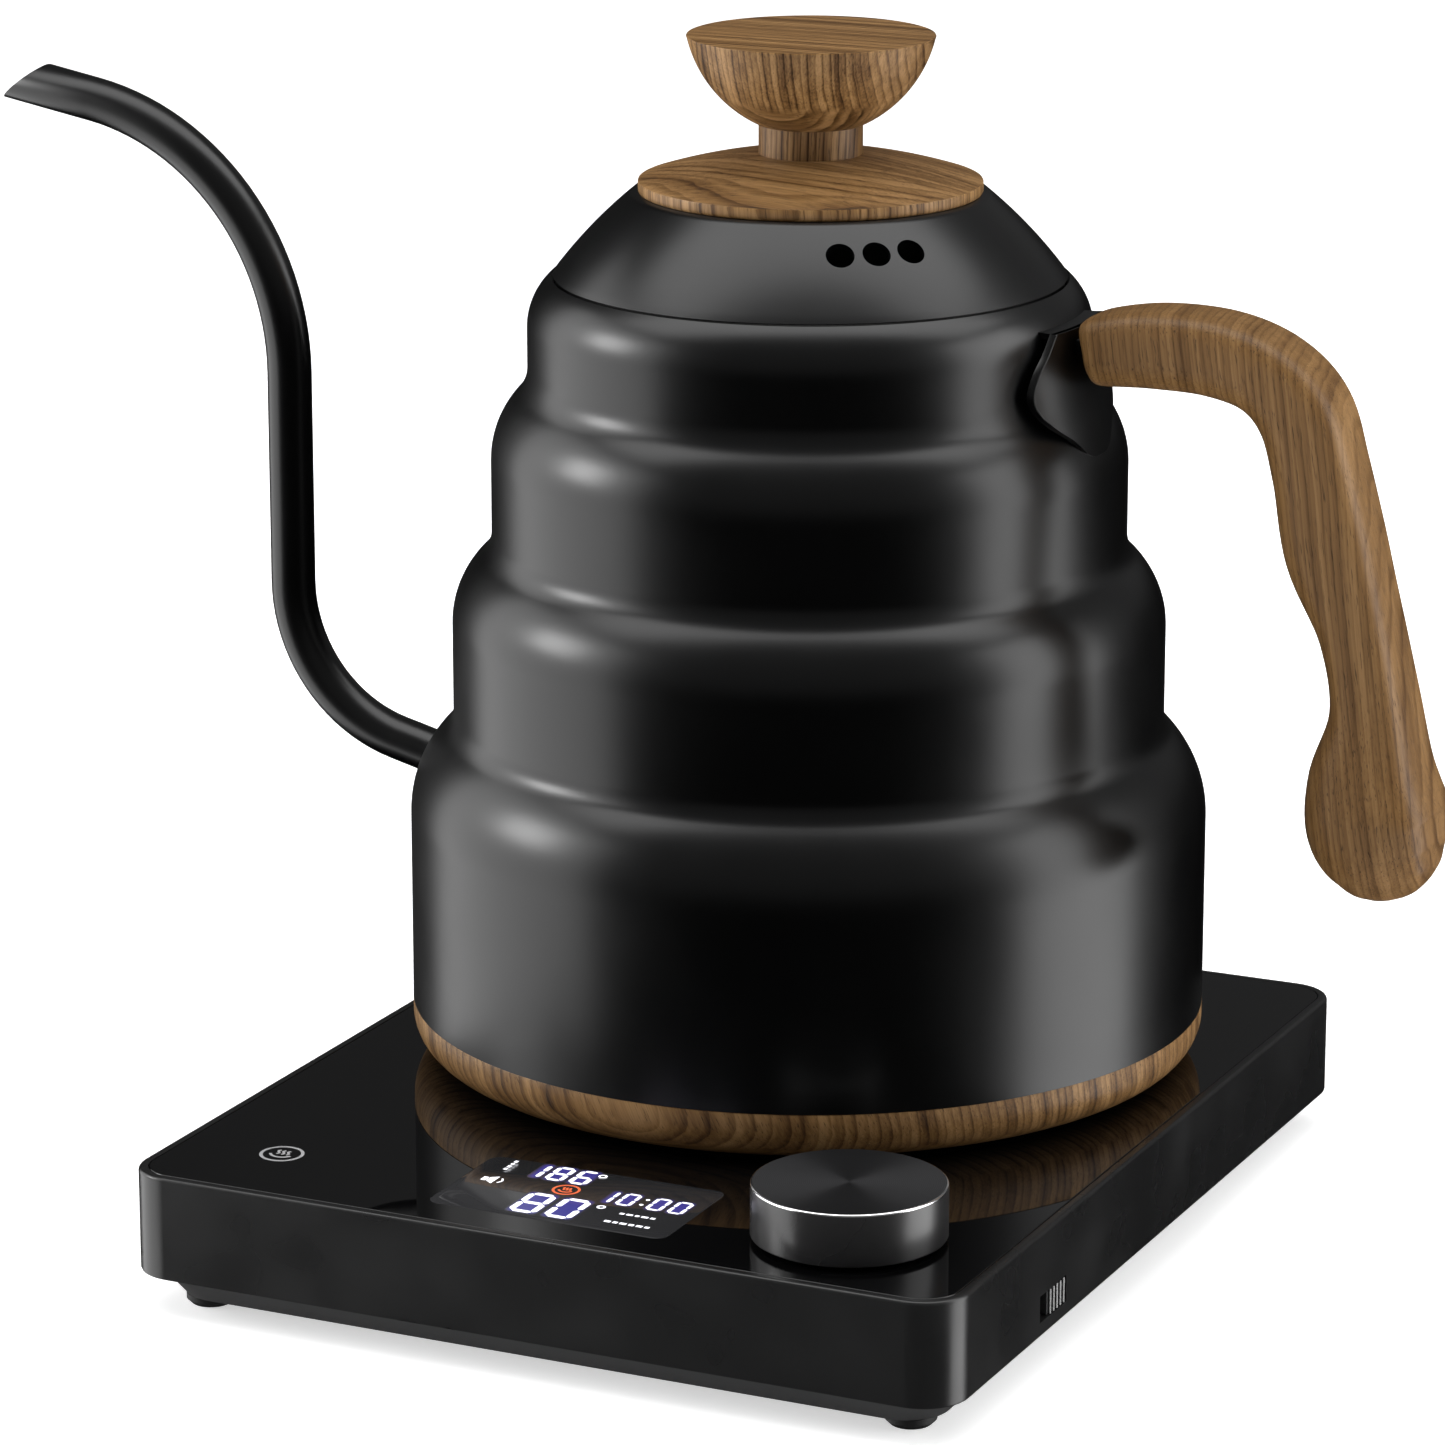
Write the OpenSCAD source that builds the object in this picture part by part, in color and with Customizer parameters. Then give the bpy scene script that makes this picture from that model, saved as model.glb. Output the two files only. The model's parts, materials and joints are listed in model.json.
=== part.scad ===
// Gooseneck electric kettle standing on a flat glass-topped base, with a dial, a touch key,
// a slide switch and a display under the glass. Millimetres, +Z up. The origin is the centre
// of the whole object's footprint, on the worktop.

/* [Base] */
// Width of the base, left to right
base_w = 161.6; // [158:0.2:170]
// Depth of the base, front to back
base_d = 195; // [192:0.5:205]
// Height of the base's side walls
base_h = 19.4; // [18.6:0.2:22]
// Radius of the base's upright corners
base_corner = 8.6; // [7:0.2:12]
// Width of the rim that shows around the glass
rim_w = 1.8; // [1.4:0.1:3]
// Thickness of the glass top
glass_t = 2.5; // [2:0.1:3]
// Depth of the sloping pan under the walls
pan_h = 5; // [4:0.2:7]
// How far the rubber feet stand below the pan
foot_h = 2; // [1.6:0.1:4]

/* [Kettle body] */
// Radius of the lowest tier, which is the widest
tier1_r = 75; // [74:0.2:76]
// Radius of the second tier
tier2_r = 66.8; // [66:0.2:67.4]
// Radius of the third tier
tier3_r = 59.3; // [58.8:0.1:59.8]
// Radius of the top tier
tier4_r = 52.4; // [52:0.1:52.8]
// Thickness of the steel wall
wall = 0.8; // [0.6:0.1:1]
// Height of the wooden ring under the body, above the glass
ring_top = 11; // [10:0.5:12]
// How far behind the middle of the base the kettle stands
kettle_y = 22.5; // [20:0.5:24]

/* [Spout] */
// Outside diameter of the spout tube
spout_d = 8.6; // [8:0.1:9.4]
// Distance of the upright stretch from the kettle's axis
spout_x = 110.4; // [109:0.2:112]
// Bend radius where the tube leaves the body
spout_low_r = 30; // [29:0.5:31]
// Bend radius at the top of the gooseneck
spout_high_r = 51; // [50:0.5:52]

/* [Lid] */
// Radius of the wooden disc on the lid
disc_r = 31.8; // [30:0.2:32]
// Radius of the knob's flat top
knob_r = 22.9; // [21:0.1:24]
// Radius of the knob's stem
stem_r = 9.6; // [9:0.1:10.5]

/* [Controls] */
// Radius of the dial
dial_r = 17.3; // [16:0.1:19]
// Height of the dial
dial_h = 9.6; // [9:0.1:11]
// Travel of the dial when it is pressed
dial_press = 0.5; // [0.3:0.1:0.6]
// Travel of the slide switch
switch_travel = 3.6; // [3:0.1:3.8]

/* [Hidden] */
$fn = 96;

// Height of the glass above the worktop, and the kettle's place over the base
glass_z = base_h + pan_h + foot_h;
spout_reach = 172.6;
grip_reach = 124.6;
kettle_x = (spout_reach - grip_reach) / 2;

// Base, measured down from the glass
deck_t = 2;
deck_z = -glass_t - deck_t;
side_wall = 2.4;
pan_wall = 2;
pan_inset = 6;
lip_inset = 3;
pan_corner = 8;
screw_in = [16, 30];
foot_r = 4.6;
foot_in = [11.8, 11.2];
coupler_r = 15.5;
coupler_top = 8.5;
groove = [7.2, 10.8];
groove_floor = 3.5;
board_z = -14.6;
board_t = 1.6;
post_r = 2.6;
post_screw_r = 1.2;
display_at = [-0.8, -74.5];
display_size = [46.6, 27.4];
touch_at = [-59.4, -77.1];
dial_at = [51.5, -73.4];
dial_gap = 0.9;
shaft_r = 3;
buzzer_at = [-44, -70];
front_board = [[-54, -92], [60, -55]];
rear_board = [[-56, -47], [56, -2]];
slot_y = [-57, -44.8];
slot_z = [-16.7, -11.7];
slider_l = 8;
gland_z = -11;
cord_r = 3.4;

// Kettle, measured up from the glass
// A point on the slanting cut across the spout's tip, and the slope of that cut
tip_at = [168.2, 0, 173.3];
tip_slope = 36.5;
low_bend_z = 79.2;
low_turn = 76;
high_bend_z = 120.7;
high_turn = 80;
spout_root = 15;
spout_sides = 28;
TIERS = [tier1_r, tier2_r, tier3_r, tier4_r];
SHOULDER_Z = [47, 83.5, 114.5, 139.5];
SHOULDER_R = [21.7, 17.2, 17.8, 12.3];
SHOULDER_TURN = [45, 46.6, 43, 50.6];
floor_z = 18;
floor_t = 1.2;
spreader_z = 15.5;
ring_round = 7.4;
ring_bottom = 1.2;
ring_inner = 66;
cover_z = [1.6, 3.6];
cover_screw_r = 61;
cover_screw_turns = [90, 210, 330];
socket_bore = 16.2;
socket_r = 20.5;
probe_at = [29.5, 60];
cutout_at = [29.5, 200];
mouth_r = 43.8;
ledge_z = 147;
lid_seam_z = 149.35;
lid_top_z = 164.7;
lid_rim_r = 47.6;
lid_top_r = 33;
lid_bulge = 90;
lid_gap = 0.6;
disc_top = 167;
// Height of the wooden disc where the knob stands on it, and the radius of its crown
disc_mid = 171.8;
disc_crown = 110;
knob_hole_top = 181;
knob_top = 193.7;
stem_top = 177.2;
vent_d = 5.2;
vent_z = 159.65;
vent_r = 38.1;
vent_step = 10;
vent_mid = -47.7;
vent_tilt = 46;

// Handle, as [distance from the axis, height, half thickness, half width]
GRIP = [[57, 140.2, 5.4, 7], [59, 140.5, 6.6, 8.2], [69, 141.6, 7.3, 8.8],
    [81, 141.2, 7.4, 8.8], [90.6, 138.2, 7.3, 8.7], [97, 131.8, 7.8, 8.6],
    [100.3, 121.5, 8, 8.4], [103.7, 107, 8.6, 8.4], [108.9, 92.8, 6.9, 8.4],
    [111.8, 79, 7.3, 9.2], [111.6, 66, 10.8, 11], [113, 57.5, 12.1, 12],
    [116, 51.4, 10.1, 10.7], [118.3, 47.8, 7, 7.5],
    [119.4, 46.1, 4.3, 4.7], [119.9, 45.3, 1.8, 2]];
grip_steps = 3;
grip_sides = 24;
// The bracket's tongue, which the grip slides over, and the screw up through both
tongue = [[54, -5, 139.8], [82, 5, 142.6]];
handle_screw_x = 72;
handle_screw_r = 1.5;
handle_head_z = 137;
// Outer face of the bracket's plate, as [radius, height], and its thickness
BRACKET = [[58.4, 119.5], [57.8, 123], [56.9, 127], [56, 131], [55.4, 136], [55.2, 144.6]];
bracket_t = 1.2;
flange_turn = 12.5;
// Right half of the bracket's leaf outline, from the lower tip to the top, as [across, height]
LEAF = [[0, 120.3], [5, 121.4], [9.5, 124.8], [14.5, 128], [18, 131.5], [18.6, 134.4],
    [16.8, 138], [14.2, 141.2], [11.9, 144.6]];

// Points on an arc about c, from angle a0 to a1
function arc(c, r, a0, a1, n) = [for (i = [0:n]) let (a = a0 + (a1 - a0) * i / n)
    [c.x + r * cos(a), c.y + r * sin(a)]];
// Centre of the arc of radius r from p to q, which bulges to the right of the way from p to q
function arc_centre(p, q, r) = let (d = q - p, l = norm(d), h = sqrt(r * r - l * l / 4))
    (p + q) / 2 + h * [-d.y, d.x] / l;
function bulge(p, q, r, n) = let (c = arc_centre(p, q, r),
    a0 = atan2(p.y - c.y, p.x - c.x), a1 = atan2(q.y - c.y, q.x - c.x)) arc(c, r, a0, a1, n);
// Faces of a skin over n rings of s points each, the first of which is point o
function skin(n, s, o) = [for (i = [0:n - 2], k = [0:s - 1]) let (m = (k + 1) % s)
    [o + i * s + k, o + i * s + m, o + (i + 1) * s + m, o + (i + 1) * s + k]];
function reverse(v) = [for (i = [len(v) - 1:-1:0]) v[i]];
// One value on the smooth curve through a, b, c and d, at t between b and c
function spline(a, b, c, d, t) = 0.5 * (2 * b + (c - a) * t + (2 * a - 5 * b + 4 * c - d) * t * t
    + (3 * b - a - 3 * c + d) * t * t * t);
function smooth(v, n) = let (e = len(v) - 1) [for (i = [0:e - 1], k = [0:n - 1])
    spline(v[max(i - 1, 0)], v[i], v[i + 1], v[min(i + 2, e)], k / n), v[e]];

// Radius of the hollow fillet that carries a shoulder into the next tier
function fillet(i) = (TIERS[i] - TIERS[i + 1]) / (1 - cos(SHOULDER_TURN[i])) - SHOULDER_R[i];
// A shoulder and its fillet, with the wall's inner face at w inside the outer one
function shoulder(i, w) = let (c = [TIERS[i] - SHOULDER_R[i], SHOULDER_Z[i]], t = SHOULDER_TURN[i],
    up = arc(c, SHOULDER_R[i] - w, 0, t, 8)) i == 3 ? up : let (f = fillet(i),
    k = c + (SHOULDER_R[i] + f) * [cos(t), sin(t)]) concat(up, reverse(arc(k, f + w, 180, 180 + t, 5)));
function body_curve(w) = concat([[TIERS[0] - w, ring_top]], shoulder(0, w), shoulder(1, w),
    shoulder(2, w), shoulder(3, w));

module at_base(p = [0, 0]) { translate([kettle_x + p.x, p.y, glass_z]) children(); }
module at_kettle() { translate([kettle_x, kettle_y, glass_z]) children(); }
module polar(p) { rotate(p[1]) translate([p[0], 0, 0]) children(); }
module tube(r, bore, z0, z1) {
    translate([0, 0, z0]) difference() {
        cylinder(r = r, h = z1 - z0);
        translate([0, 0, -1]) cylinder(r = bore, h = z1 - z0 + 2);
    }
}
module disc(r, z0, z1) { translate([0, 0, z0]) cylinder(r = r, h = z1 - z0); }
module block(p, q) { translate(p) cube(q - p); }
module rounded(w, d, r) {
    square([w - 2 * r, d], center = true);
    square([w, d - 2 * r], center = true);
    for (x = [-1, 1], y = [-1, 1]) translate([x * (w / 2 - r), y * (d / 2 - r)]) circle(r);
}
module plate(inset, z0, z1) {
    translate([0, 0, z0]) linear_extrude(z1 - z0)
        rounded(base_w - 2 * inset, base_d - 2 * inset, max(base_corner - inset, 1));
}
module corners(in) {
    for (x = [-1, 1], y = [-1, 1])
        translate([x * (base_w / 2 - in.x), y * (base_d / 2 - in.y), 0]) children();
}
module posts(area) {
    inset = 4;
    for (x = [area[0].x + inset, area[1].x - inset], y = [area[0].y + inset, area[1].y - inset])
        translate([x, y, 0]) children();
}
module board(area) {
    difference() {
        block([area[0].x, area[0].y, board_z], [area[1].x, area[1].y, board_z + board_t]);
        posts(area) disc(post_screw_r + 0.2, board_z - 1, board_z + 3);
    }
}

// Base
module base_housing() {
    board_top = board_z + board_t;
    color("#1b1b1c") at_base() difference() {
        union() {
            difference() {
                plate(0, -base_h, 0);
                plate(rim_w, -glass_t, 1);
                plate(side_wall, -base_h - 1, deck_z);
            }
            corners(screw_in) disc(4, -base_h - pan_h + pan_wall, deck_z);
            posts(front_board) disc(post_r, board_top, deck_z);
            posts(rear_board) disc(post_r, board_top, deck_z);
        }
        translate([0, kettle_y, 0]) disc(coupler_r + 1.7, deck_z - 1, 0);
        translate([display_at.x, display_at.y, deck_z])
            cube([display_size.x + 3, display_size.y + 3, 8], center = true);
        translate([touch_at.x, touch_at.y, 0]) disc(6.5, deck_z - 1, 0);
        translate([dial_at.x, dial_at.y, 0]) disc(4.2, deck_z - 1, 0);
        corners(screw_in) disc(1.5, -30, -11);
        posts(front_board) disc(post_screw_r, -30, -7);
        posts(rear_board) disc(post_screw_r, -30, -7);
        block([base_w / 2 - side_wall - 1, slot_y[0], slot_z[0]], [base_w / 2 + 1, slot_y[1], slot_z[1]]);
        translate([0, base_d / 2 - side_wall - 1, gland_z]) rotate([-90, 0, 0]) cylinder(r = 5, h = 5);
    }
}
module glass_top() {
    color("#0a0a0b") at_base() difference() {
        plate(rim_w, -glass_t, 0);
        translate([0, kettle_y, 0]) disc(coupler_r + 0.8, -5, 1);
        translate([dial_at.x, dial_at.y, 0]) disc(shaft_r + 0.6, -5, 1);
    }
}
// The pan's sloping solid, grown inwards by w
module pan_body(w, top) {
    hull() {
        for (edge = [[lip_inset + w, -base_h, -base_h + top],
            [pan_inset + w, -base_h - pan_h + w, -base_h - pan_h + w + 0.2]])
            translate([0, 0, edge[1]]) linear_extrude(edge[2] - edge[1])
                rounded(base_w - 2 * edge[0], base_d - 2 * edge[0], pan_corner - w);
    }
}
module base_pan() {
    color("#2b2b2c") at_base() difference() {
        pan_body(0, 0.001);
        pan_body(pan_wall, 1);
        corners(screw_in) disc(1.7, -30, -15);
        corners(screw_in) disc(3.2, -30, -base_h - pan_h + 1.2);
    }
}
module feet() {
    color("#0c0c0c") at_base() corners(foot_in) rotate_extrude()
        polygon([[0, -glass_z], [foot_r - 0.9, -glass_z], [foot_r, -glass_z + 0.9],
            [foot_r, -base_h - pan_h], [0, -base_h - pan_h]]);
}
module pan_screws() {
    head_z = -base_h - pan_h + 1.2;
    color("silver") at_base() corners(screw_in) {
        disc(2.9, head_z - 1, head_z);
        disc(1.5, head_z, -12);
    }
}
module base_coupler() {
    color("#161616") at_kettle() difference() {
        union() {
            disc(20, deck_z - 2.5, deck_z);
            disc(coupler_r, -12, coupler_top);
        }
        tube(groove[1], groove[0], groove_floor, coupler_top + 1);
        disc(3, 2, coupler_top + 1);
    }
}
module coupler_contacts() {
    color("#c9a24a") at_kettle() {
        tube(groove[1], groove[1] - 0.5, groove_floor, coupler_top - 1.5);
        disc(2.6, 2, 2.8);
    }
}
module display_module() {
    color("#26282b") at_base(display_at) block([-display_size.x / 2, -display_size.y / 2, deck_z - 3],
        [display_size.x / 2, display_size.y / 2, -glass_t]);
}
module touch_pad() { color("#b87333") at_base(touch_at) disc(5, deck_z - 0.5, -glass_t); }
module control_board() { color("#1d4d2b") at_base() board(front_board); }
module power_board() { color("#1d4d2b") at_base() board(rear_board); }
module mains_relay() {
    color("#20242c") at_base() block([-40, -32, board_z + board_t], [-21, -17, deck_z - 0.5]);
}
module board_transformer() {
    color("#c8a637") at_base() block([12, -34, board_z + board_t], [34, -14, deck_z - 0.5]);
}
module board_screws() {
    color("silver") at_base() for (area = [front_board, rear_board]) posts(area) {
        disc(2.2, board_z - 1.2, board_z);
        disc(post_screw_r, board_z, -8);
    }
}
module encoder_body() {
    color("#5d6064") at_base(dial_at) difference() {
        union() {
            block([-6, -6, board_z + board_t], [6, 6, deck_z - 2]);
            disc(4, deck_z - 2, -glass_t - 0.1);
        }
        disc(3.9, -11.5, -7.4);
        disc(shaft_r + 0.05, -8, 0);
    }
}
module encoder_dome() { color("silver") at_base(dial_at) disc(2.5, -11.5, -10.9); }
module buzzer() { color("#151515") at_base(buzzer_at) disc(6, board_z + board_t, -8); }
module switch_body() {
    inner = base_w / 2 - side_wall;
    color("#3a3a3c") at_base() difference() {
        block([inner - 6, -60, -18.2], [inner, -41, -10.2]);
        block([inner - 4, -54.4, -15.4], [inner + 1, -47.4, -13]);
        block([inner - 0.6, slot_y[0], slot_z[0]], [inner + 1, slot_y[1], slot_z[1]]);
    }
}
module cord_gland() {
    color("#141414") at_base() translate([0, base_d / 2, gland_z]) rotate([90, 0, 0]) difference() {
        union() {
            cylinder(r = 5, h = side_wall);
            translate([0, 0, side_wall]) cylinder(r = 6.2, h = 3);
            translate([0, 0, side_wall + 3]) cylinder(r = 5, h = 8);
        }
        translate([0, 0, -1]) cylinder(r = cord_r, h = 20);
    }
}

// The collar turns with the kettle around the base's coupler
module coupler_collar() { color("#202020") at_kettle() tube(18.6, coupler_r + 0.3, 0.2, 1.9); }

// Dial
module encoder_plunger() {
    color("#d8d8d8") at_base(dial_at) {
        disc(3.6, -9.2, -8.1);
        disc(1.5, -10.3, -9.2);
    }
}
module dial_shaft() { color("silver") at_base(dial_at) disc(shaft_r, -8.05, 8); }
module dial_knob() {
    skin = 1.8;
    top = dial_gap + dial_h;
    color("#2a2a2b") at_base(dial_at) difference() {
        rotate_extrude() polygon([[0, dial_gap], [dial_r, dial_gap], [dial_r, top - 0.5],
            [dial_r - 0.5, top], [0, top]]);
        tube(dial_r - skin, 5.5, 0, top - 2.5);
        disc(5.6, 0, 1.6);
        disc(shaft_r, 0, 8);
    }
}

// Slide switch
module switch_slider() {
    face = base_w / 2 - 0.3;
    inner = base_w / 2 - side_wall;
    y0 = slot_y[1] - 0.2 - slider_l;
    ribs = 5;
    pitch = 1.55;
    color("#19191a") at_base() {
        block([inner - 0.4, y0, slot_z[0] + 0.2], [face, y0 + slider_l, slot_z[1] - 0.2]);
        block([inner - 3, y0 + 3, -15.2], [inner - 0.4, y0 + 5.2, -13.2]);
        for (i = [0:ribs - 1]) translate([face, y0 + 0.6 + i * pitch, slot_z[0] + 0.2])
            cube([0.3, 0.6, slot_z[1] - slot_z[0] - 0.4]);
    }
}

// Kettle
module body_solid(w) {
    curve = body_curve(w);
    rotate_extrude() polygon(concat([[0, ring_top]], curve, [[0, curve[len(curve) - 1].y]]));
}
// Centre line of the spout from root to tip, as [distance from the axis, height, heading above level]
function bend(c, r, a0, a1, side, n) = [for (i = [0:n]) let (a = a0 + (a1 - a0) * i / n)
    [c.x + r * cos(a), c.y + r * sin(a), a + side * 90]];
function spout_line() = let (
    low = bend([spout_x - spout_low_r, low_bend_z], spout_low_r, -low_turn, 0, 1, 8),
    high = bend([spout_x + spout_high_r, high_bend_z], spout_high_r, 180, 180 - high_turn, -1, 10),
    root = low[0])
    concat([[root.x - spout_root * cos(root.z), root.y - spout_root * sin(root.z), root.z]], low, high);
function spout_ring(s, r) = [for (k = [0:spout_sides - 1]) let (a = 360 * k / spout_sides)
    [s.x - r * cos(a) * sin(s.z), r * sin(a), s.y + r * cos(a) * cos(s.z)]];
// A ring slid along its heading on to the slanting cut across the tip
function tip_ring(s, r) = let (d = [cos(s.z), 0, sin(s.z)], n = [sin(tip_slope), 0, cos(tip_slope)])
    [for (p = spout_ring(s, r)) p + d * ((tip_at - p) * n) / (d * n)];
module spout_tube() {
    line = spout_line();
    rings = len(line) + 1;
    inner = rings * spout_sides;
    last = inner - spout_sides;
    points = [for (r = [spout_d / 2, spout_d / 2 - wall]) each concat([for (s = line) each spout_ring(s, r)],
        tip_ring(line[len(line) - 1], r))];
    outer_faces = skin(rings, spout_sides, 0);
    inner_faces = [for (f = skin(rings, spout_sides, inner)) reverse(f)];
    ends = [for (k = [0:spout_sides - 1]) let (m = (k + 1) % spout_sides)
        each [[m, k, inner + k, inner + m], [last + k, last + m, inner + last + m, inner + last + k]]];
    color("#1a1a1a") at_kettle() mirror([1, 0, 0])
        polyhedron(points, concat(outer_faces, inner_faces, ends), convexity = 6);
}
module kettle_shell() {
    root = spout_line()[0];
    color("#1a1a1a") at_kettle() difference() {
        union() {
            rotate_extrude() polygon(concat(body_curve(0), reverse(body_curve(wall))));
            tube(49.5, mouth_r, ledge_z - wall, ledge_z);
            tube(mouth_r + wall, mouth_r, 139, ledge_z);
        }
        translate([-root.x, 0, root.y]) rotate([0, root.z - 90, 0]) cylinder(r = spout_d / 2, h = spout_root);
    }
}
module kettle_floor() {
    color("silver") at_kettle() difference() {
        union() {
            disc(tier1_r - wall, floor_z, floor_z + floor_t);
            tube(tier1_r - wall, tier1_r - 2 * wall, ring_top + 3.2, floor_z);
        }
        polar(probe_at) disc(3, floor_z - 1, floor_z + 3);
    }
}
module heat_spreader() {
    color("#b9bcc0") at_kettle() difference() {
        disc(58, spreader_z, floor_z);
        polar(probe_at) disc(5.2, spreader_z - 1, floor_z + 1);
    }
}
module heating_element() {
    rod_r = 3.4;
    loop_r = 42;
    sweep = 300;
    color("#8f9296") at_kettle() translate([0, 0, spreader_z - rod_r]) {
        rotate_extrude(start = 30, angle = sweep) translate([loop_r, 0]) circle(rod_r);
        for (a = [30, 30 + sweep]) rotate(a) translate([loop_r, 0, -6.5]) cylinder(r = 1.6, h = 6.5);
    }
}
module temperature_probe() { color("silver") at_kettle() polar(probe_at) disc(3, 12.5, 25); }
module probe_seal() { color("#c84b32") at_kettle() polar(probe_at) tube(5.2, 3, spreader_z, floor_z); }
module dry_boil_cutout() { color("#7a4a2a") at_kettle() polar(cutout_at) disc(7.5, 10, spreader_z); }
module kettle_socket() {
    color("#161616") at_kettle() difference() {
        union() {
            disc(socket_r, 2.4, 14);
            disc(24, cover_z[1], cover_z[1] + 2);
        }
        disc(socket_bore, 1, 11.5);
    }
}
module socket_contacts() {
    color("#c9a24a") at_kettle() {
        tube(9.4, 8.6, 4.6, 11.5);
        disc(2.2, 3.4, 11.5);
    }
}
module bottom_cover() {
    color("#1c1c1c") at_kettle() difference() {
        disc(ring_inner - 0.2, cover_z[0], cover_z[1]);
        disc(socket_r + 0.2, 0, 6);
        for (a = cover_screw_turns) polar([cover_screw_r, a]) {
            disc(1.5, 0, 6);
            disc(2.7, 0, cover_z[0] + 1.2);
        }
    }
}
module kettle_pads() {
    color("#0d0d0d") at_kettle() for (a = [30, 150, 270]) polar([50, a]) disc(5, 0.1, cover_z[0]);
}
module wood_base_ring() {
    c = [tier1_r - ring_round, ring_bottom + ring_round];
    color("#8a6238") at_kettle() difference() {
        rotate_extrude() polygon(concat([[ring_inner, ring_bottom]], arc(c, ring_round, -90, 0, 10),
            [[tier1_r, ring_top], [tier1_r - wall, ring_top], [tier1_r - wall, ring_top + 3],
            [tier1_r - 3.5, ring_top + 3], [tier1_r - 3.5, ring_top], [ring_inner, ring_top],
            [ring_inner, 6.3], [56, 6.3], [56, cover_z[1]], [ring_inner, cover_z[1]]]));
        for (a = cover_screw_turns) polar([cover_screw_r, a]) disc(1.3, 0, 7);
    }
}
module cover_screws() {
    color("silver") at_kettle() for (a = cover_screw_turns) polar([cover_screw_r, a]) {
        disc(2.4, cover_z[0] + 0.1, cover_z[0] + 1.2);
        disc(1.3, cover_z[0] + 1.2, 7.5);
    }
}
module spout_strainer() {
    color("silver") at_kettle() intersection() {
        translate([-76, 0, 46.5]) rotate([0, 90, 0]) difference() {
            cylinder(r = 9, h = 5.6);
            translate([0, 0, -1]) cylinder(r = 8.2, h = 6);
            for (k = [0:6]) rotate(k * 60) translate([k == 6 ? 0 : 5, 0, 0]) cylinder(r = 1.1, h = 9);
        }
        body_solid(wall);
    }
}

// Handle
module handle_bracket() {
    leaf = smooth(LEAF, 4);
    top = LEAF[len(LEAF) - 1].y;
    color("#1c1c1c") at_kettle() difference() {
        union() {
            intersection() {
                rotate_extrude(start = -40, angle = 80)
                    polygon(concat(BRACKET, reverse([for (p = BRACKET) p - [bracket_t, 0]])));
                translate([40, 0, 0]) rotate([90, 0, 90]) linear_extrude(30)
                    polygon(concat(leaf, [for (p = reverse(leaf)) if (p.x > 0) [-p.x, p.y]]));
            }
            rotate_extrude(start = -flange_turn, angle = 2 * flange_turn)
                translate([48, top - bracket_t]) square([6.4, bracket_t]);
            block(tongue[0], tongue[1]);
        }
        body_solid(0);
        translate([handle_screw_x, 0, 130]) cylinder(r = handle_screw_r + 0.1, h = 20);
    }
}
// One ring of the grip: an oval that is squarer on its outer side
function grip_ring(s, tangent) = let (nx = tangent.y, nz = -tangent.x) [for (k = [0:grip_sides - 1])
    let (a = 360 * k / grip_sides, c = cos(a), d = sin(a), e = c > 0 ? 0.62 : 0.8,
    u = sign(c) * pow(abs(c), e) * s[2], v = sign(d) * pow(abs(d), 0.72) * s[3])
    [s[0] + nx * u * -1, v, s[1] + nz * u * -1]];
module grip_solid() {
    line = smooth(GRIP, grip_steps);
    n = len(line);
    rings = [for (i = [0:n - 1]) let (a = line[max(i - 1, 0)], b = line[min(i + 1, n - 1)],
        d = [b[0] - a[0], b[1] - a[1]]) grip_ring(line[i], d / norm(d))];
    points = [for (r = rings) each r];
    near = [for (k = [grip_sides - 1:-1:0]) k];
    far = [for (k = [0:grip_sides - 1]) (n - 1) * grip_sides + k];
    polyhedron(points, concat(skin(n, grip_sides, 0), [near, far]), convexity = 6);
}
module handle_grip() {
    color("#8a6238") at_kettle() difference() {
        grip_solid();
        block(tongue[0], tongue[1] + [0.2, 0, 0]);
        translate([handle_screw_x, 0, 120]) cylinder(r = 2.9, h = handle_head_z - 120);
        translate([handle_screw_x, 0, 120]) cylinder(r = handle_screw_r, h = 26);
    }
}
module handle_screw() {
    color("silver") at_kettle() translate([handle_screw_x, 0, 0]) {
        disc(2.7, handle_head_z - 1.4, handle_head_z);
        disc(handle_screw_r, handle_head_z, 145);
    }
}

// Lid
function lid_curve(w) = let (p = [lid_rim_r, lid_seam_z], q = [lid_top_r, lid_top_z],
    c = arc_centre(p, q, lid_bulge), a0 = atan2(p.y - c.y, p.x - c.x), a1 = atan2(q.y - c.y, q.x - c.x))
    arc(c, lid_bulge - w, a0, a1, 8);
module lid_cover() {
    inner = lid_curve(wall);
    lip_r = lid_rim_r - lid_gap;
    color("#1a1a1a") at_kettle() difference() {
        rotate_extrude() polygon(concat([[lip_r - wall, ledge_z + 0.1], [lip_r, ledge_z + 0.1],
            [lip_r, lid_seam_z - 0.1]], lid_curve(0), [[0, lid_top_z], [0, lid_top_z - wall],
            [lid_top_r - 0.4, lid_top_z - wall]], reverse([for (p = inner) if (p.x < lip_r - wall) p]),
            [[lip_r - wall, lid_seam_z]]));
        disc(2.2, lid_top_z - 3, lid_top_z + 1);
        for (k = [-1:1]) rotate(vent_mid + k * vent_step) translate([vent_r, 0, vent_z])
            rotate([0, 90 - vent_tilt, 0]) translate([0, 0, -4]) cylinder(d = vent_d, h = 8);
    }
}
module lid_skirt() {
    color("silver") at_kettle() {
        tube(42.9, 42.1, 131, 148);
        tube(lid_rim_r - lid_gap - wall, 42.1, 147.2, 148);
    }
}
module lid_gasket() {
    color("#3b3b3b") at_kettle() rotate_extrude()
        polygon([[42.9, 141], [43.5, 141.6], [43.2, 142.3], [43.5, 143], [43.2, 143.7], [43.5, 144.4],
            [42.9, 145]]);
}
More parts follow.
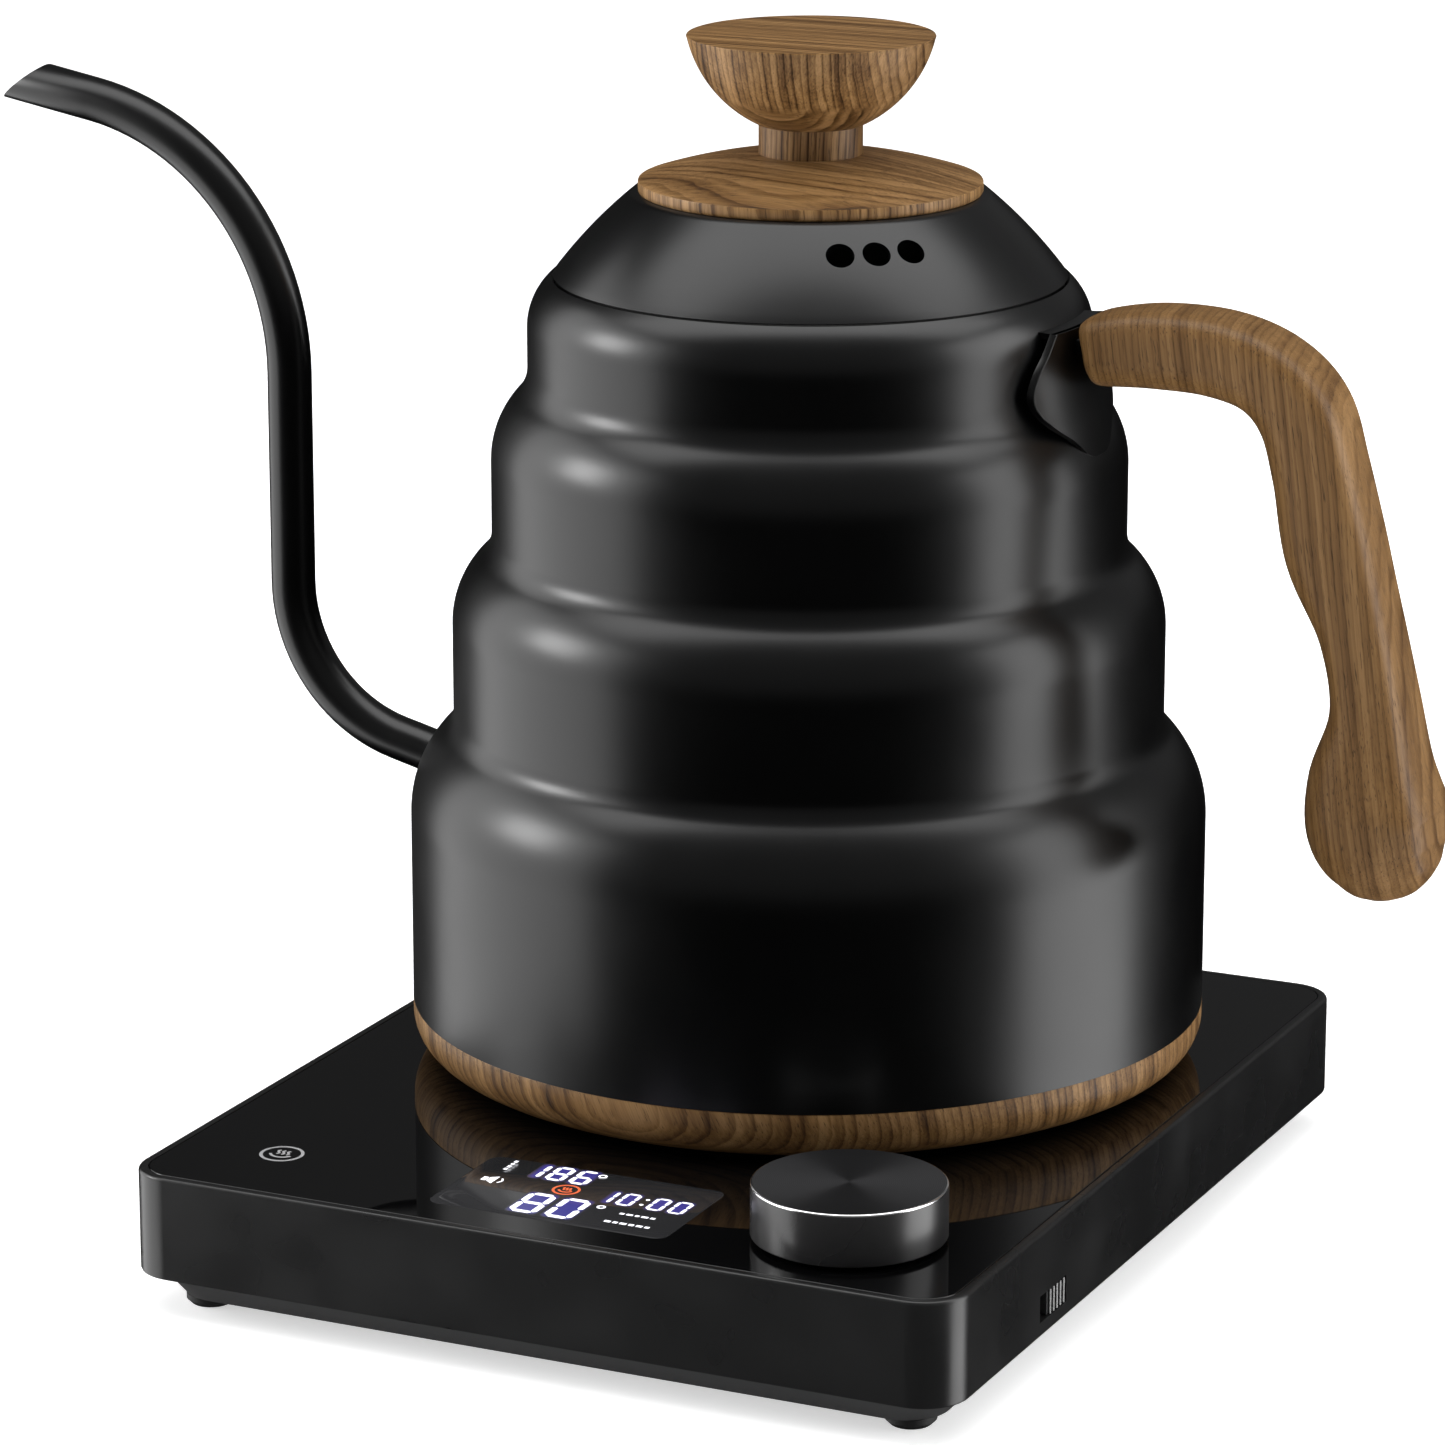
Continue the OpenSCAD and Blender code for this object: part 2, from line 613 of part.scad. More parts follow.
module lid_disc() {
    color("#8a6238") at_kettle() difference() {
        rotate_extrude() polygon(concat([[0, lid_top_z], [disc_r - 0.5, lid_top_z], [disc_r, lid_top_z + 0.5],
            [disc_r, disc_top - 0.3]], bulge([disc_r - 0.3, disc_top], [stem_r, disc_mid], disc_crown, 8),
            [[0, disc_mid]]));
        disc(2.6, lid_top_z - 1, disc_mid + 1);
    }
}
module lid_knob() {
    color("#8a6238") at_kettle() difference() {
        rotate_extrude() polygon(concat([[0, disc_mid], [stem_r, disc_mid]],
            bulge([stem_r, stem_top], [knob_r, knob_top], 21.5, 14), [[0, knob_top]]));
        disc(3.5, disc_mid - 1, knob_hole_top);
    }
}
module knob_insert() { color("#c9a24a") at_kettle() tube(3.5, 2, disc_mid + 0.2, knob_hole_top); }
module lid_screw() {
    color("silver") at_kettle() {
        disc(4, lid_top_z - wall - 2.2, lid_top_z - wall);
        disc(2, lid_top_z - wall, knob_hole_top - 2);
    }
}

base_housing();
glass_top();
base_pan();
feet();
pan_screws();
base_coupler();
coupler_contacts();
display_module();
touch_pad();
control_board();
power_board();
mains_relay();
board_transformer();
board_screws();
encoder_body();
encoder_dome();
buzzer();
switch_body();
cord_gland();
coupler_collar();
encoder_plunger();
dial_shaft();
dial_knob();
switch_slider();
kettle_shell();
kettle_floor();
heat_spreader();
heating_element();
temperature_probe();
probe_seal();
dry_boil_cutout();
kettle_socket();
socket_contacts();
bottom_cover();
kettle_pads();
wood_base_ring();
cover_screws();
spout_tube();
spout_strainer();
handle_bracket();
handle_grip();
handle_screw();
lid_cover();
lid_skirt();
lid_gasket();
lid_disc();
lid_knob();
knob_insert();
lid_screw();
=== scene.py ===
"""Looks of the gooseneck kettle and its glass-topped base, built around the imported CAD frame.

Lengths are in millimetres up to the section on the stage, and become metres in a mesh. A piece of the
kettle or lid is drawn about the kettle's axis, a piece of the base about the middle of the base, and the
dial and each group of marks about its own middle, all with height 0 at the top of the glass."""

import json
import math

import bmesh
import bpy
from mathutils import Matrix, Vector


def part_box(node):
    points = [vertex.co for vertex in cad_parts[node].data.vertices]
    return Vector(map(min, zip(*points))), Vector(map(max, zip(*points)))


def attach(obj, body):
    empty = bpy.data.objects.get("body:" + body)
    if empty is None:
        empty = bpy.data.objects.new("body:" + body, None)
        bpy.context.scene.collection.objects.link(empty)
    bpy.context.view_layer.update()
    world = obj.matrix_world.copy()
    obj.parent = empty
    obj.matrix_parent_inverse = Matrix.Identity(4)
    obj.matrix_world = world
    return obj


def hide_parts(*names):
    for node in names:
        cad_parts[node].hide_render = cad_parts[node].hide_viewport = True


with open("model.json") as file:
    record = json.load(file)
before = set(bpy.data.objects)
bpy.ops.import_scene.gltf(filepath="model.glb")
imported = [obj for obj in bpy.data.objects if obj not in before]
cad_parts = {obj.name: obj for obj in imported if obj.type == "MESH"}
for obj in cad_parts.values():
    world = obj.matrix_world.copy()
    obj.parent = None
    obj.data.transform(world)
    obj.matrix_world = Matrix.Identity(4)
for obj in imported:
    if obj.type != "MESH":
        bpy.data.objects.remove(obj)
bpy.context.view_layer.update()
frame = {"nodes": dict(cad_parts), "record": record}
MM = 0.001


GLASS_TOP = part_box("glass_top")[1].z


def over(node):
    """The point on the level of the glass that is above or below the middle of a CAD node."""
    lo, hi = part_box(node)
    at = (lo + hi) / 2
    at.z = GLASS_TOP
    return at


BASE = over("base_housing")
KETTLE = over("lid_knob")
DIAL = over("dial_knob")
TOUCH = over("touch_pad")
DISPLAY = over("display_module")


# ---- materials
def shader(name):
    material = bpy.data.materials.new(name)
    material.use_nodes = True
    return material, material.node_tree, material.node_tree.nodes["Principled BSDF"]


def feed(tree, made, sockets):
    """Sets a node's inputs, each to a number, a colour, or another node's output to link."""
    for key, value in sockets.items():
        if isinstance(value, bpy.types.NodeSocket):
            tree.links.new(value, made.inputs[key])
        else:
            made.inputs[key].default_value = value


def node(tree, kind, sockets=None, **settings):
    made = tree.nodes.new("ShaderNode" + kind)
    for key, value in settings.items():
        setattr(made, key, value)
    feed(tree, made, sockets or {})
    return made


def place(tree, scale=(1, 1, 1), turn=(0, 0, 0), shift=(0, 0, 0)):
    """Object coordinates in millimetres, turned, shifted and stretched."""
    coords = node(tree, "TexCoord").outputs["Object"]
    size = [s / MM for s in scale]
    where = node(tree, "Mapping", {"Vector": coords, "Rotation": [math.radians(a) for a in turn]})
    return node(tree, "Mapping", {"Vector": where.outputs[0], "Scale": size, "Location": shift}).outputs[0]


def noise(tree, vector, scale, detail=3.0, rough=0.5):
    sockets = {"Vector": vector, "Scale": scale, "Detail": detail, "Roughness": rough}
    return node(tree, "TexNoise", sockets).outputs["Fac"]


def math_node(tree, how, a, b=0.0, c=0.0):
    return node(tree, "Math", {0: a, 1: b, 2: c}, operation=how).outputs[0]


def scaled(tree, value, by, plus=0.0):
    return math_node(tree, "MULTIPLY_ADD", value, by, plus)


def spread(tree, value, low, high, start=0.0, end=1.0):
    """A value that runs from start to end becomes one that runs from low to high."""
    sockets = {"Value": value, "From Min": start, "From Max": end, "To Min": low, "To Max": high}
    return node(tree, "MapRange", sockets).outputs[0]


def ramp(tree, value, stops):
    """A colour for the value, from stops of (position, colour)."""
    made = node(tree, "ValToRGB", {"Fac": value})
    while len(made.color_ramp.elements) < len(stops):
        made.color_ramp.elements.new(0.5)
    for element, (at, colour) in zip(made.color_ramp.elements, stops):
        element.position = at
        element.color = (*colour, 1)
    return made.outputs["Color"]


def mix(tree, share, a, b):
    """Colour a where the share is 0, and colour b where it is 1."""
    a, b = [c if isinstance(c, bpy.types.NodeSocket) else (*c, 1) for c in (a, b)]
    return node(tree, "Mix", {0: share, 6: a, 7: b}, data_type="RGBA").outputs[2]


def bump(tree, height, depth, strength=1.0):
    return node(tree, "Bump", {"Height": height, "Distance": depth * MM, "Strength": strength}).outputs[0]


def even(scale):
    return (scale, scale, scale)


# Most of a noise's values lie between these two
NOISE_LOW, NOISE_HIGH = 0.3, 0.7
# A plain surface: its clouds (cycles per millimetre), how much of its colour's drift comes from its fine
# grain, and how far its roughness drifts
CLOUDS, FINE_SHARE, GLOSS_DRIFT = 0.05, 0.6, 0.06


def finish_surface(name, colour, rough, metallic=0.0, grain=1.2, depth=0.01, tint=0.12, stretch=(1, 1, 1),
                   specular=0.5):
    """A plain surface: colour and gloss drift a little, and a fine grain stands up from it."""
    material, tree, bsdf = shader(name)
    fine = noise(tree, place(tree, stretch), grain, 4.0, 0.6)
    broad = noise(tree, place(tree, even(CLOUDS)), 1.0, 2.0)
    drift = scaled(tree, broad, 1 - FINE_SHARE)
    drift = scaled(tree, fine, FINE_SHARE, drift)
    dark = [c * (1 - tint) for c in colour]
    light = [min(1.0, c * (1 + tint)) for c in colour]
    gloss = spread(tree, broad, rough - GLOSS_DRIFT, rough + GLOSS_DRIFT, NOISE_LOW, NOISE_HIGH)
    feed(tree, bsdf, {"Base Color": mix(tree, drift, dark, light), "Roughness": gloss,
                      "Normal": bump(tree, fine, depth), "Metallic": metallic,
                      "Specular IOR Level": specular})
    return material


WALNUT_PORE = (0.016, 0.006, 0.002)
WALNUT_DARK = (0.030, 0.012, 0.003)
WALNUT_MID = (0.105, 0.049, 0.014)
WALNUT = (0.205, 0.108, 0.037)
WALNUT_LIGHT = (0.345, 0.196, 0.078)
WALNUT_ROUGH = 0.44
WALNUT_STOPS = [(0.16, WALNUT_DARK), (0.36, WALNUT_MID), (0.55, WALNUT), (0.80, WALNUT_LIGHT)]
# One year's wood, from its start to its dark late edge, and where a fibre's noise is low enough to be a pore
LATE_WOOD = [(0.0, even(0.25)), (0.10, even(0)), (0.62, even(0.15)), (0.90, even(1))]
PORE_STOPS = [(0.31, even(1)), (0.40, even(0))]
# How far the ripple bends a year's line, how often bands of years change tone, and what each layer adds
RIPPLE_REACH, BAND_RATE = 1.3, 0.42
BAND_TONE, FIBRE_TONE, STREAK_TONE, LATE_TONE = 1.25, 0.42, 0.45, -0.20
MEAN_TONE, PORE_TINT, PORE_DEPTH, FIBRE_RISE = 1.0, 0.6, -0.8, 0.5
# Where the top's cut takes over from the sides', as the upright part of the surface's normal
TOP_FROM, TOP_FULL = 0.66, 0.74


def growth(tree, turn, pith, seed, year, wander, contrast, lift):
    """Walnut from a trunk whose grain runs along Z once turned: the colour and the height of its grain."""
    def layer(across, along, detail, rough=0.5):
        """Noise of so many cycles per millimetre across the grain and along it."""
        return noise(tree, place(tree, (across, across, along), turn, seed), 1.0, detail, rough)

    trunk = node(tree, "SeparateXYZ", {0: place(tree, (1, 1, 0.02), turn, pith)}).outputs
    square = scaled(tree, trunk[1], trunk[1])
    radius = math_node(tree, "SQRT", scaled(tree, trunk[0], trunk[0], square))
    radius = scaled(tree, layer(0.16, 0.022, 3.0, 0.55), RIPPLE_REACH, radius)
    years = scaled(tree, layer(0.022, 0.007, 2.0), wander, radius)
    years = scaled(tree, years, 1 / year)
    line = node(tree, "CombineXYZ", {0: scaled(tree, years, BAND_RATE), 1: seed[0]}).outputs[0]
    bands = noise(tree, line, 1.0, 3.0, 0.6)
    late = ramp(tree, math_node(tree, "FRACT", years), LATE_WOOD)
    fibres = layer(3.0, 0.06, 4.0, 0.65)
    streaks = layer(0.5, 0.012, 3.0, 0.6)
    pores = ramp(tree, layer(4.6, 0.22, 2.0), PORE_STOPS)
    tone = scaled(tree, bands, BAND_TONE, scaled(tree, fibres, FIBRE_TONE))
    tone = scaled(tree, streaks, STREAK_TONE, tone)
    tone = math_node(tree, "SUBTRACT", tone, MEAN_TONE)
    tone = scaled(tree, late, LATE_TONE, tone)
    tone = scaled(tree, tone, contrast, 0.5 + lift)
    colour = ramp(tree, tone, WALNUT_STOPS)
    colour = mix(tree, scaled(tree, pores, PORE_TINT), colour, WALNUT_PORE)
    height = scaled(tree, fibres, FIBRE_RISE)
    return colour, scaled(tree, pores, PORE_DEPTH, height)


def walnut(name, side, top, seed, year=1.6, wander=8.0, contrast=1.0, lift=0.0):
    """Oiled walnut. The sides show one cut of the trunk and a flat top another. Each cut is (how the trunk is
    turned, where its pith then lies). Years are this many millimetres wide, and wander this far."""
    figure = (year, wander, contrast, lift)
    material, tree, bsdf = shader(name)
    colour, height = growth(tree, *side, seed, *figure)
    if top:
        top_colour, top_height = growth(tree, *top, [s + 9 for s in seed], *figure)
        normal = node(tree, "SeparateXYZ", {0: node(tree, "TexCoord").outputs["Normal"]}).outputs[2]
        facing = spread(tree, math_node(tree, "ABSOLUTE", normal), 0, 1, TOP_FROM, TOP_FULL)
        colour = mix(tree, facing, colour, top_colour)
        height = scaled(tree, height, math_node(tree, "SUBTRACT", 1.0, facing))
        height = math_node(tree, "ADD", scaled(tree, top_height, facing), height)
    gloss = spread(tree, height, WALNUT_ROUGH + 0.1, WALNUT_ROUGH - 0.05, -0.4, 0.5)
    feed(tree, bsdf, {"Base Color": colour, "Roughness": gloss, "Normal": bump(tree, height, 0.04, 0.6),
                      "Specular IOR Level": 0.28})
    return material


ENAMEL_DARK = (0.0006, 0.0006, 0.0007)
ENAMEL_LIGHT = (0.0014, 0.0014, 0.0016)
SPUN_DARK = (0.058, 0.058, 0.060)
SPUN_LIGHT = (0.100, 0.100, 0.104)
HALO_BLUE = (0.022, 0.018, 0.26)
GLASS_IOR = 1.52


def enamel():
    """Satin black coating on steel, with a faint orange-peel."""
    material, tree, bsdf = shader("black_enamel")
    peel = noise(tree, place(tree), 1.1, 2.0, 0.4)
    speck = noise(tree, place(tree), 9.0, 2.0, 0.5)
    gloss = spread(tree, noise(tree, place(tree, even(0.04)), 1.0), 0.28, 0.33, NOISE_LOW, NOISE_HIGH)
    relief = scaled(tree, speck, 0.2, peel)
    feed(tree, bsdf, {"Base Color": mix(tree, speck, ENAMEL_DARK, ENAMEL_LIGHT), "Roughness": gloss,
                      "Normal": bump(tree, relief, 0.004)})
    return material


def polished(name, colour, rough):
    """Glass or another polished face: almost a mirror, with faint smears in its gloss."""
    material, tree, bsdf = shader(name)
    smears = noise(tree, place(tree, even(0.03)), 1.0, 4.0, 0.6)
    tint = mix(tree, smears, [c * 0.85 for c in colour], [c * 1.15 for c in colour])
    feed(tree, bsdf, {"Base Color": tint,
                      "Roughness": spread(tree, smears, rough, rough + 0.02, 0.35, 0.75), "IOR": GLASS_IOR})
    return material


def spun_metal():
    """Dark anodised aluminium turned on a lathe: fine rings, and highlights that fan out from the middle."""
    material, tree, bsdf = shader("dial_spun")
    coords = node(tree, "TexCoord").outputs["Object"]
    centred = node(tree, "Mapping", {"Vector": coords, "Location": [-DIAL.x, -DIAL.y, 0]}).outputs[0]
    rings = node(tree, "TexWave", {"Vector": centred, "Scale": 900.0, "Distortion": 0.4, "Detail": 2.0},
                 wave_type="RINGS", rings_direction="Z").outputs["Fac"]
    tangent = node(tree, "Tangent", direction_type="RADIAL", axis="Z").outputs[0]
    feed(tree, bsdf, {"Base Color": mix(tree, rings, SPUN_DARK, SPUN_LIGHT),
                      "Normal": bump(tree, rings, 0.004, 0.5), "Tangent": tangent, "Metallic": 0.85,
                      "Roughness": 0.34, "Anisotropic": 0.85})
    return material


def lit(name, colour, strength, base):
    """A lit mark behind the glass. Its light is a little uneven, as a diffuser leaves it."""
    material, tree, bsdf = shader(name)
    cloud = noise(tree, place(tree, even(0.6)), 1.0, 1.0)
    feed(tree, bsdf, {"Base Color": (*base, 1), "Roughness": 0.08,
                      "Emission Color": mix(tree, cloud, [c * 0.9 for c in colour], colour),
                      "Emission Strength": strength})
    return material


def halo():
    """The blue spill around the digits: it fades towards the edge of each halo."""
    material, tree, bsdf = shader("display_halo")
    base = mix(tree, noise(tree, place(tree), 0.4), WINDOW, [c * 1.1 for c in WINDOW])
    fade = node(tree, "Attribute", attribute_name="fade", attribute_type="GEOMETRY").outputs["Fac"]
    feed(tree, bsdf, {"Base Color": base, "Emission Color": mix(tree, fade, even(0), HALO_BLUE),
                      "Roughness": 0.06, "Emission Strength": 1.0})
    return material


WINDOW = (0.030, 0.030, 0.032)
STEEL = dict(metallic=1.0, rough=0.30, stretch=(0.15, 0.15, 2.0), depth=0.004, tint=0.06)
PLASTIC = dict(rough=0.42, grain=2.4, depth=0.010)
SURFACES = {
    "base_plastic": dict(colour=(0.0105, 0.0105, 0.0107), rough=0.30, grain=1.6, depth=0.0015, tint=0.05),
    "pan_plastic": dict(colour=(0.045, 0.045, 0.046), rough=0.5, grain=2.2, depth=0.02),
    "rubber_black": dict(colour=(0.010, 0.010, 0.010), rough=0.7, grain=1.6, depth=0.03),
    "screw_steel": dict(STEEL, colour=(0.50, 0.50, 0.51)),
    "coupler_plastic": dict(PLASTIC, colour=(0.014, 0.014, 0.014)),
    "contact_brass": dict(STEEL, colour=(0.72, 0.52, 0.22), rough=0.25),
    "display_grey": dict(PLASTIC, colour=WINDOW),
    "copper_pad": dict(STEEL, colour=(0.72, 0.40, 0.24)),
    "circuit_board": dict(PLASTIC, colour=(0.012, 0.085, 0.035), rough=0.3, grain=0.8, tint=0.25),
    "relay_plastic": dict(PLASTIC, colour=(0.015, 0.018, 0.028)),
    "transformer_tape": dict(PLASTIC, colour=(0.60, 0.42, 0.05), stretch=(0.2, 0.2, 3.0)),
    "encoder_metal": dict(STEEL, colour=(0.45, 0.46, 0.48)),
    "switch_plastic": dict(PLASTIC, colour=(0.012, 0.012, 0.0125)),
    "stainless": dict(STEEL, colour=(0.56, 0.56, 0.55), rough=0.26, grain=1.6),
    "spreader_aluminium": dict(STEEL, colour=(0.60, 0.61, 0.63), rough=0.42, stretch=(1, 1, 1), grain=0.7,
                               depth=0.03),
    "element_steel": dict(STEEL, colour=(0.22, 0.21, 0.21), rough=0.45),
    "seal_rubber": dict(colour=(0.50, 0.09, 0.05), rough=0.55, grain=1.4, depth=0.02),
    "seal_rubber_grey": dict(colour=(0.07, 0.07, 0.07), rough=0.6, grain=1.4, depth=0.02),
    "cutout_body": dict(PLASTIC, colour=(0.20, 0.08, 0.03)),
}
MATERIALS = {slot: finish_surface(slot, **facts) for slot, facts in SURFACES.items()}
MATERIALS["black_glass"] = polished("black_glass", (0.0022, 0.0022, 0.0024), 0.015)
MATERIALS["black_enamel"] = enamel()
MATERIALS["dial_metal"] = finish_surface("dial_side", (0.019, 0.0185, 0.019), 0.27, grain=1.0,
                                         specular=0.75, stretch=(0.3, 0.3, 4.0), depth=0.003)
MATERIALS["walnut"] = walnut("walnut_ring", ((0, 24, 0), (-30, 150, 0)), ((0, 90, 0), (0, -200, 0)),
                             (3, 7, 1), lift=0.04)
WALNUT_GRIP = walnut("walnut_grip", ((0, 8, 6), (260, 70, 0)), None,
                     (11, 2, 5), year=1.35, wander=7.0, contrast=0.62, lift=0.02)
WALNUT_DISC = walnut("walnut_disc", ((0, 5, 0), (-60, 100, 0)), ((0, 88, 8), (-150, -18, 0)),
                     (5, 1, 4), year=1.3, wander=11.0, contrast=1.1, lift=0.10)
WALNUT_KNOB = walnut("walnut_knob", ((3, 0, 0), (90, 20, 0)), ((0, 90, 5), (-260, -130, 0)),
                     (2, 4, 8), year=1.3, wander=6.0, contrast=1.2, lift=0.03)
SPUN = spun_metal()
DIAL_EDGE = finish_surface("dial_edge", (0.85, 0.85, 0.86), 0.16, metallic=1.0, stretch=(1, 1, 6),
                           depth=0.002)
RIB_GREY = finish_surface("rib_grey", (0.42, 0.42, 0.42), 0.4, grain=2.0)
DISPLAY_GLASS = polished("display_window", WINDOW, 0.03)
DIGITS = lit("display_digits", (0.93, 0.94, 1.0), 1.25, (0.7, 0.7, 0.75))
HEAT_RED = lit("display_heat", (0.95, 0.16, 0.05), 0.85, (0.3, 0.06, 0.03))
PRINT_GREY = finish_surface("print_grey", (0.46, 0.46, 0.47), 0.4, grain=2.0, depth=0.001)
HALO = halo()


# ---- mesh tools
def add(name, data, at=(0, 0, 0), turn=(0, 0, 0)):
    made = bpy.data.objects.new(name, data)
    bpy.context.scene.collection.objects.link(made)
    made.location, made.rotation_euler = at, turn
    return made


def build(name, origin, points, faces, materials, sharp=32, tags=None):
    """A mesh piece from points in millimetres about an origin, smooth except at its sharp edges."""
    mesh = bpy.data.meshes.new(name)
    mesh.from_pydata([origin + Vector(p) * MM for p in points], [], faces)
    for material in materials:
        mesh.materials.append(material)
    if tags:
        mesh.polygons.foreach_set("material_index", tags)
    work = bmesh.new()
    work.from_mesh(mesh)
    bmesh.ops.recalc_face_normals(work, faces=work.faces)
    work.to_mesh(mesh)
    work.free()
    return smooth(add(name, mesh), sharp)


def smooth(piece, sharp):
    """Smooth shading, except where two faces meet at more than this many degrees."""
    piece.data.polygons.foreach_set("use_smooth", [True] * len(piece.data.polygons))
    piece.data.set_sharp_from_angle(angle=math.radians(sharp))
    return piece


def weigh(piece):
    """Large faces stay flat, and only their rounded edges turn the light."""
    piece.modifiers.new("weigh", "WEIGHTED_NORMAL").keep_sharp = True
    return piece


def combine(piece, tool, how):
    """Cuts or joins a tool into a piece, then drops the tool."""
    made = piece.modifiers.new(how, "BOOLEAN")
    made.operation = how
    made.solver = "EXACT"
    made.object = tool
    result = bpy.data.meshes.new_from_object(piece.evaluated_get(bpy.context.evaluated_depsgraph_get()))
    piece.modifiers.clear()
    piece.data = result
    bpy.data.objects.remove(tool)


def own(piece, body, slot, *nodes):
    """The piece rides on a body and stands for the nodes. The slot is not used."""
    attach(piece, body)
    if nodes:
        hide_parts(*nodes)
    return piece


def rounded(corners, steps):
    """An outline whose corners (x, y, radius) are turned into arcs. A corner of two numbers stays sharp."""
    line = []
    count = len(corners)
    for i, corner in enumerate(corners):
        at = Vector(corner[:2])
        if len(corner) < 3 or corner[2] == 0:
            line.append(tuple(at))
            continue
        back = (Vector(corners[i - 1][:2]) - at).normalized()
        ahead = (Vector(corners[(i + 1) % count][:2]) - at).normalized()
        half = back.angle(ahead) / 2
        reach = corner[2] / math.tan(half)
        centre = at + (back + ahead).normalized() * (corner[2] / math.sin(half))
        start, end = at + back * reach - centre, at + ahead * reach - centre
        turn = start.angle_signed(end)
        for k in range(steps + 1):
            c, s = math.cos(-turn * k / steps), math.sin(-turn * k / steps)
            line.append((centre.x + start.x * c - start.y * s, centre.y + start.x * s + start.y * c))
    return line


def arc(centre, radius, a0, a1, steps):
    """Points on a circle, from angle a0 to angle a1 in degrees."""
    turns = [math.radians(a0 + (a1 - a0) * i / steps) for i in range(steps + 1)]
    return [(centre[0] + radius * math.cos(a), centre[1] + radius * math.sin(a)) for a in turns]


def bulge(p, q, radius, steps):
    """Points on the arc of that radius from p to q, which bulges to the right of the way."""
    p, q = Vector(p), Vector(q)
    way = q - p
    height = math.sqrt(radius ** 2 - way.length_squared / 4)
    centre = (p + q) / 2 + Vector((-way.y, way.x)) / way.length * height
    a0 = math.degrees(math.atan2(p.y - centre.y, p.x - centre.x))
    a1 = math.degrees(math.atan2(q.y - centre.y, q.x - centre.x))
    return arc(centre, radius, a0, a1, steps)


def circle(x, y, r, steps):
    turns = [math.tau * k / steps for k in range(steps)]
    return [(x + r * math.cos(a), y + r * math.sin(a)) for a in turns]


def lathe(name, origin, profile, materials, sides=160, tag=None, sharp=32):
    """Turns a closed profile of (radius, height) round the upright axis. tag gives a stretch its material."""
    points, faces, tags, rings = [], [], [], []
    for r, z in profile:
        if r < 1e-6:
            rings.append([len(points)])
            points.append((0, 0, z))
            continue
        rings.append(list(range(len(points), len(points) + sides)))
        points += [(x, y, z) for x, y in circle(0, 0, r, sides)]
    for i, low in enumerate(rings):
        j = (i + 1) % len(rings)
        high = rings[j]
        if len(low) == 1 and len(high) == 1:
            continue
        for k in range(sides):
            m = (k + 1) % sides
            quad = [low[k % len(low)], low[m % len(low)], high[m % len(high)], high[k % len(high)]]
            faces.append(list(dict.fromkeys(quad)))
            tags.append(tag(profile[i], profile[j]) if tag else 0)
    return build(name, origin, points, faces, materials, sharp, tags)


def loft(name, origin, rings, materials, sharp=32):
    """Skins closed rings of equal count, and closes the first and the last with a face."""
    count = len(rings[0])
    points = [p for ring in rings for p in ring]
    faces = [[low + k, low + (k + 1) % count, low + count + (k + 1) % count, low + count + k]
             for low in range(0, len(points) - count, count) for k in range(count)]
    faces.append(list(range(count))[::-1])
    faces.append(list(range(len(points) - count, len(points))))
    return build(name, origin, points, faces, materials, sharp)


def rectangle(width, depth, corner, z, steps=10):
    """A ring round a rectangle with rounded corners."""
    x, y = width / 2, depth / 2
    corner = min(corner, x, y)
    corners = [(x, -y, corner), (x, y, corner), (-x, y, corner), (-x, -y, corner)]
    return [(px, py, z) for px, py in rounded(corners, steps)]


def slab(name, origin, size, corner, stations, materials, sharp=32):
    """A rounded rectangle lofted through stations of (inset, height)."""
    rings = [rectangle(size[0] - 2 * inset, size[1] - 2 * inset, corner - inset, z) for inset, z in stations]
    return loft(name, origin, rings, materials, sharp)


def cylinder(name, origin, centre, direction, radius, length, sides=64):
    """A plain cylinder to cut with, which starts at the centre and runs in the direction."""
    way = Vector(direction).normalized()
    side = way.orthogonal().normalized()
    other = way.cross(side)
    turns = [math.tau * k / sides for k in range(sides)]
    spokes = [(side * math.cos(a) + other * math.sin(a)) * radius for a in turns]
    rings = [[Vector(centre) + way * (length * end) + spoke for spoke in spokes] for end in (0, 1)]
    return loft(name, origin, rings, [])


def cuboid(name, origin, lo, hi):
    """A plain block to cut or join with."""
    ring = [(lo[0], lo[1]), (hi[0], lo[1]), (hi[0], hi[1]), (lo[0], hi[1])]
    return loft(name, origin, [[(x, y, z) for x, y in ring] for z in (lo[2], hi[2])], [])


def join(name, parts):
    """Several separate solids as one mesh."""
    work = bmesh.new()
    for part in parts:
        work.from_mesh(part.data)
        bpy.data.objects.remove(part)
    mesh = bpy.data.meshes.new(name)
    work.to_mesh(mesh)
    work.free()
    return add(name, mesh)


# ---- kettle
WALL = 0.8
RING_TOP = 11.0
TIER_R = [75.0, 66.8, 59.3, 52.4]
SHOULDER_Z = [47.0, 83.5, 114.5, 139.5]
SHOULDER_R = [21.7, 17.2, 17.8, 12.3]
SHOULDER_TURN = [45.0, 46.6, 43.0, 50.6]
SHOULDER_STEPS, HOLLOW_STEPS = 18, 10
LAST = len(TIER_R) - 1
LEDGE_Z = 147.0
LEDGE_R = 48.6
MOUTH_R = 43.8
NECK_LOW = 139.0
ROUND_SIDES = 224
ENAMEL_SHARP = 40
# The outside is enamelled and the inside is bare
COATED = [MATERIALS["black_enamel"], MATERIALS["stainless"]]


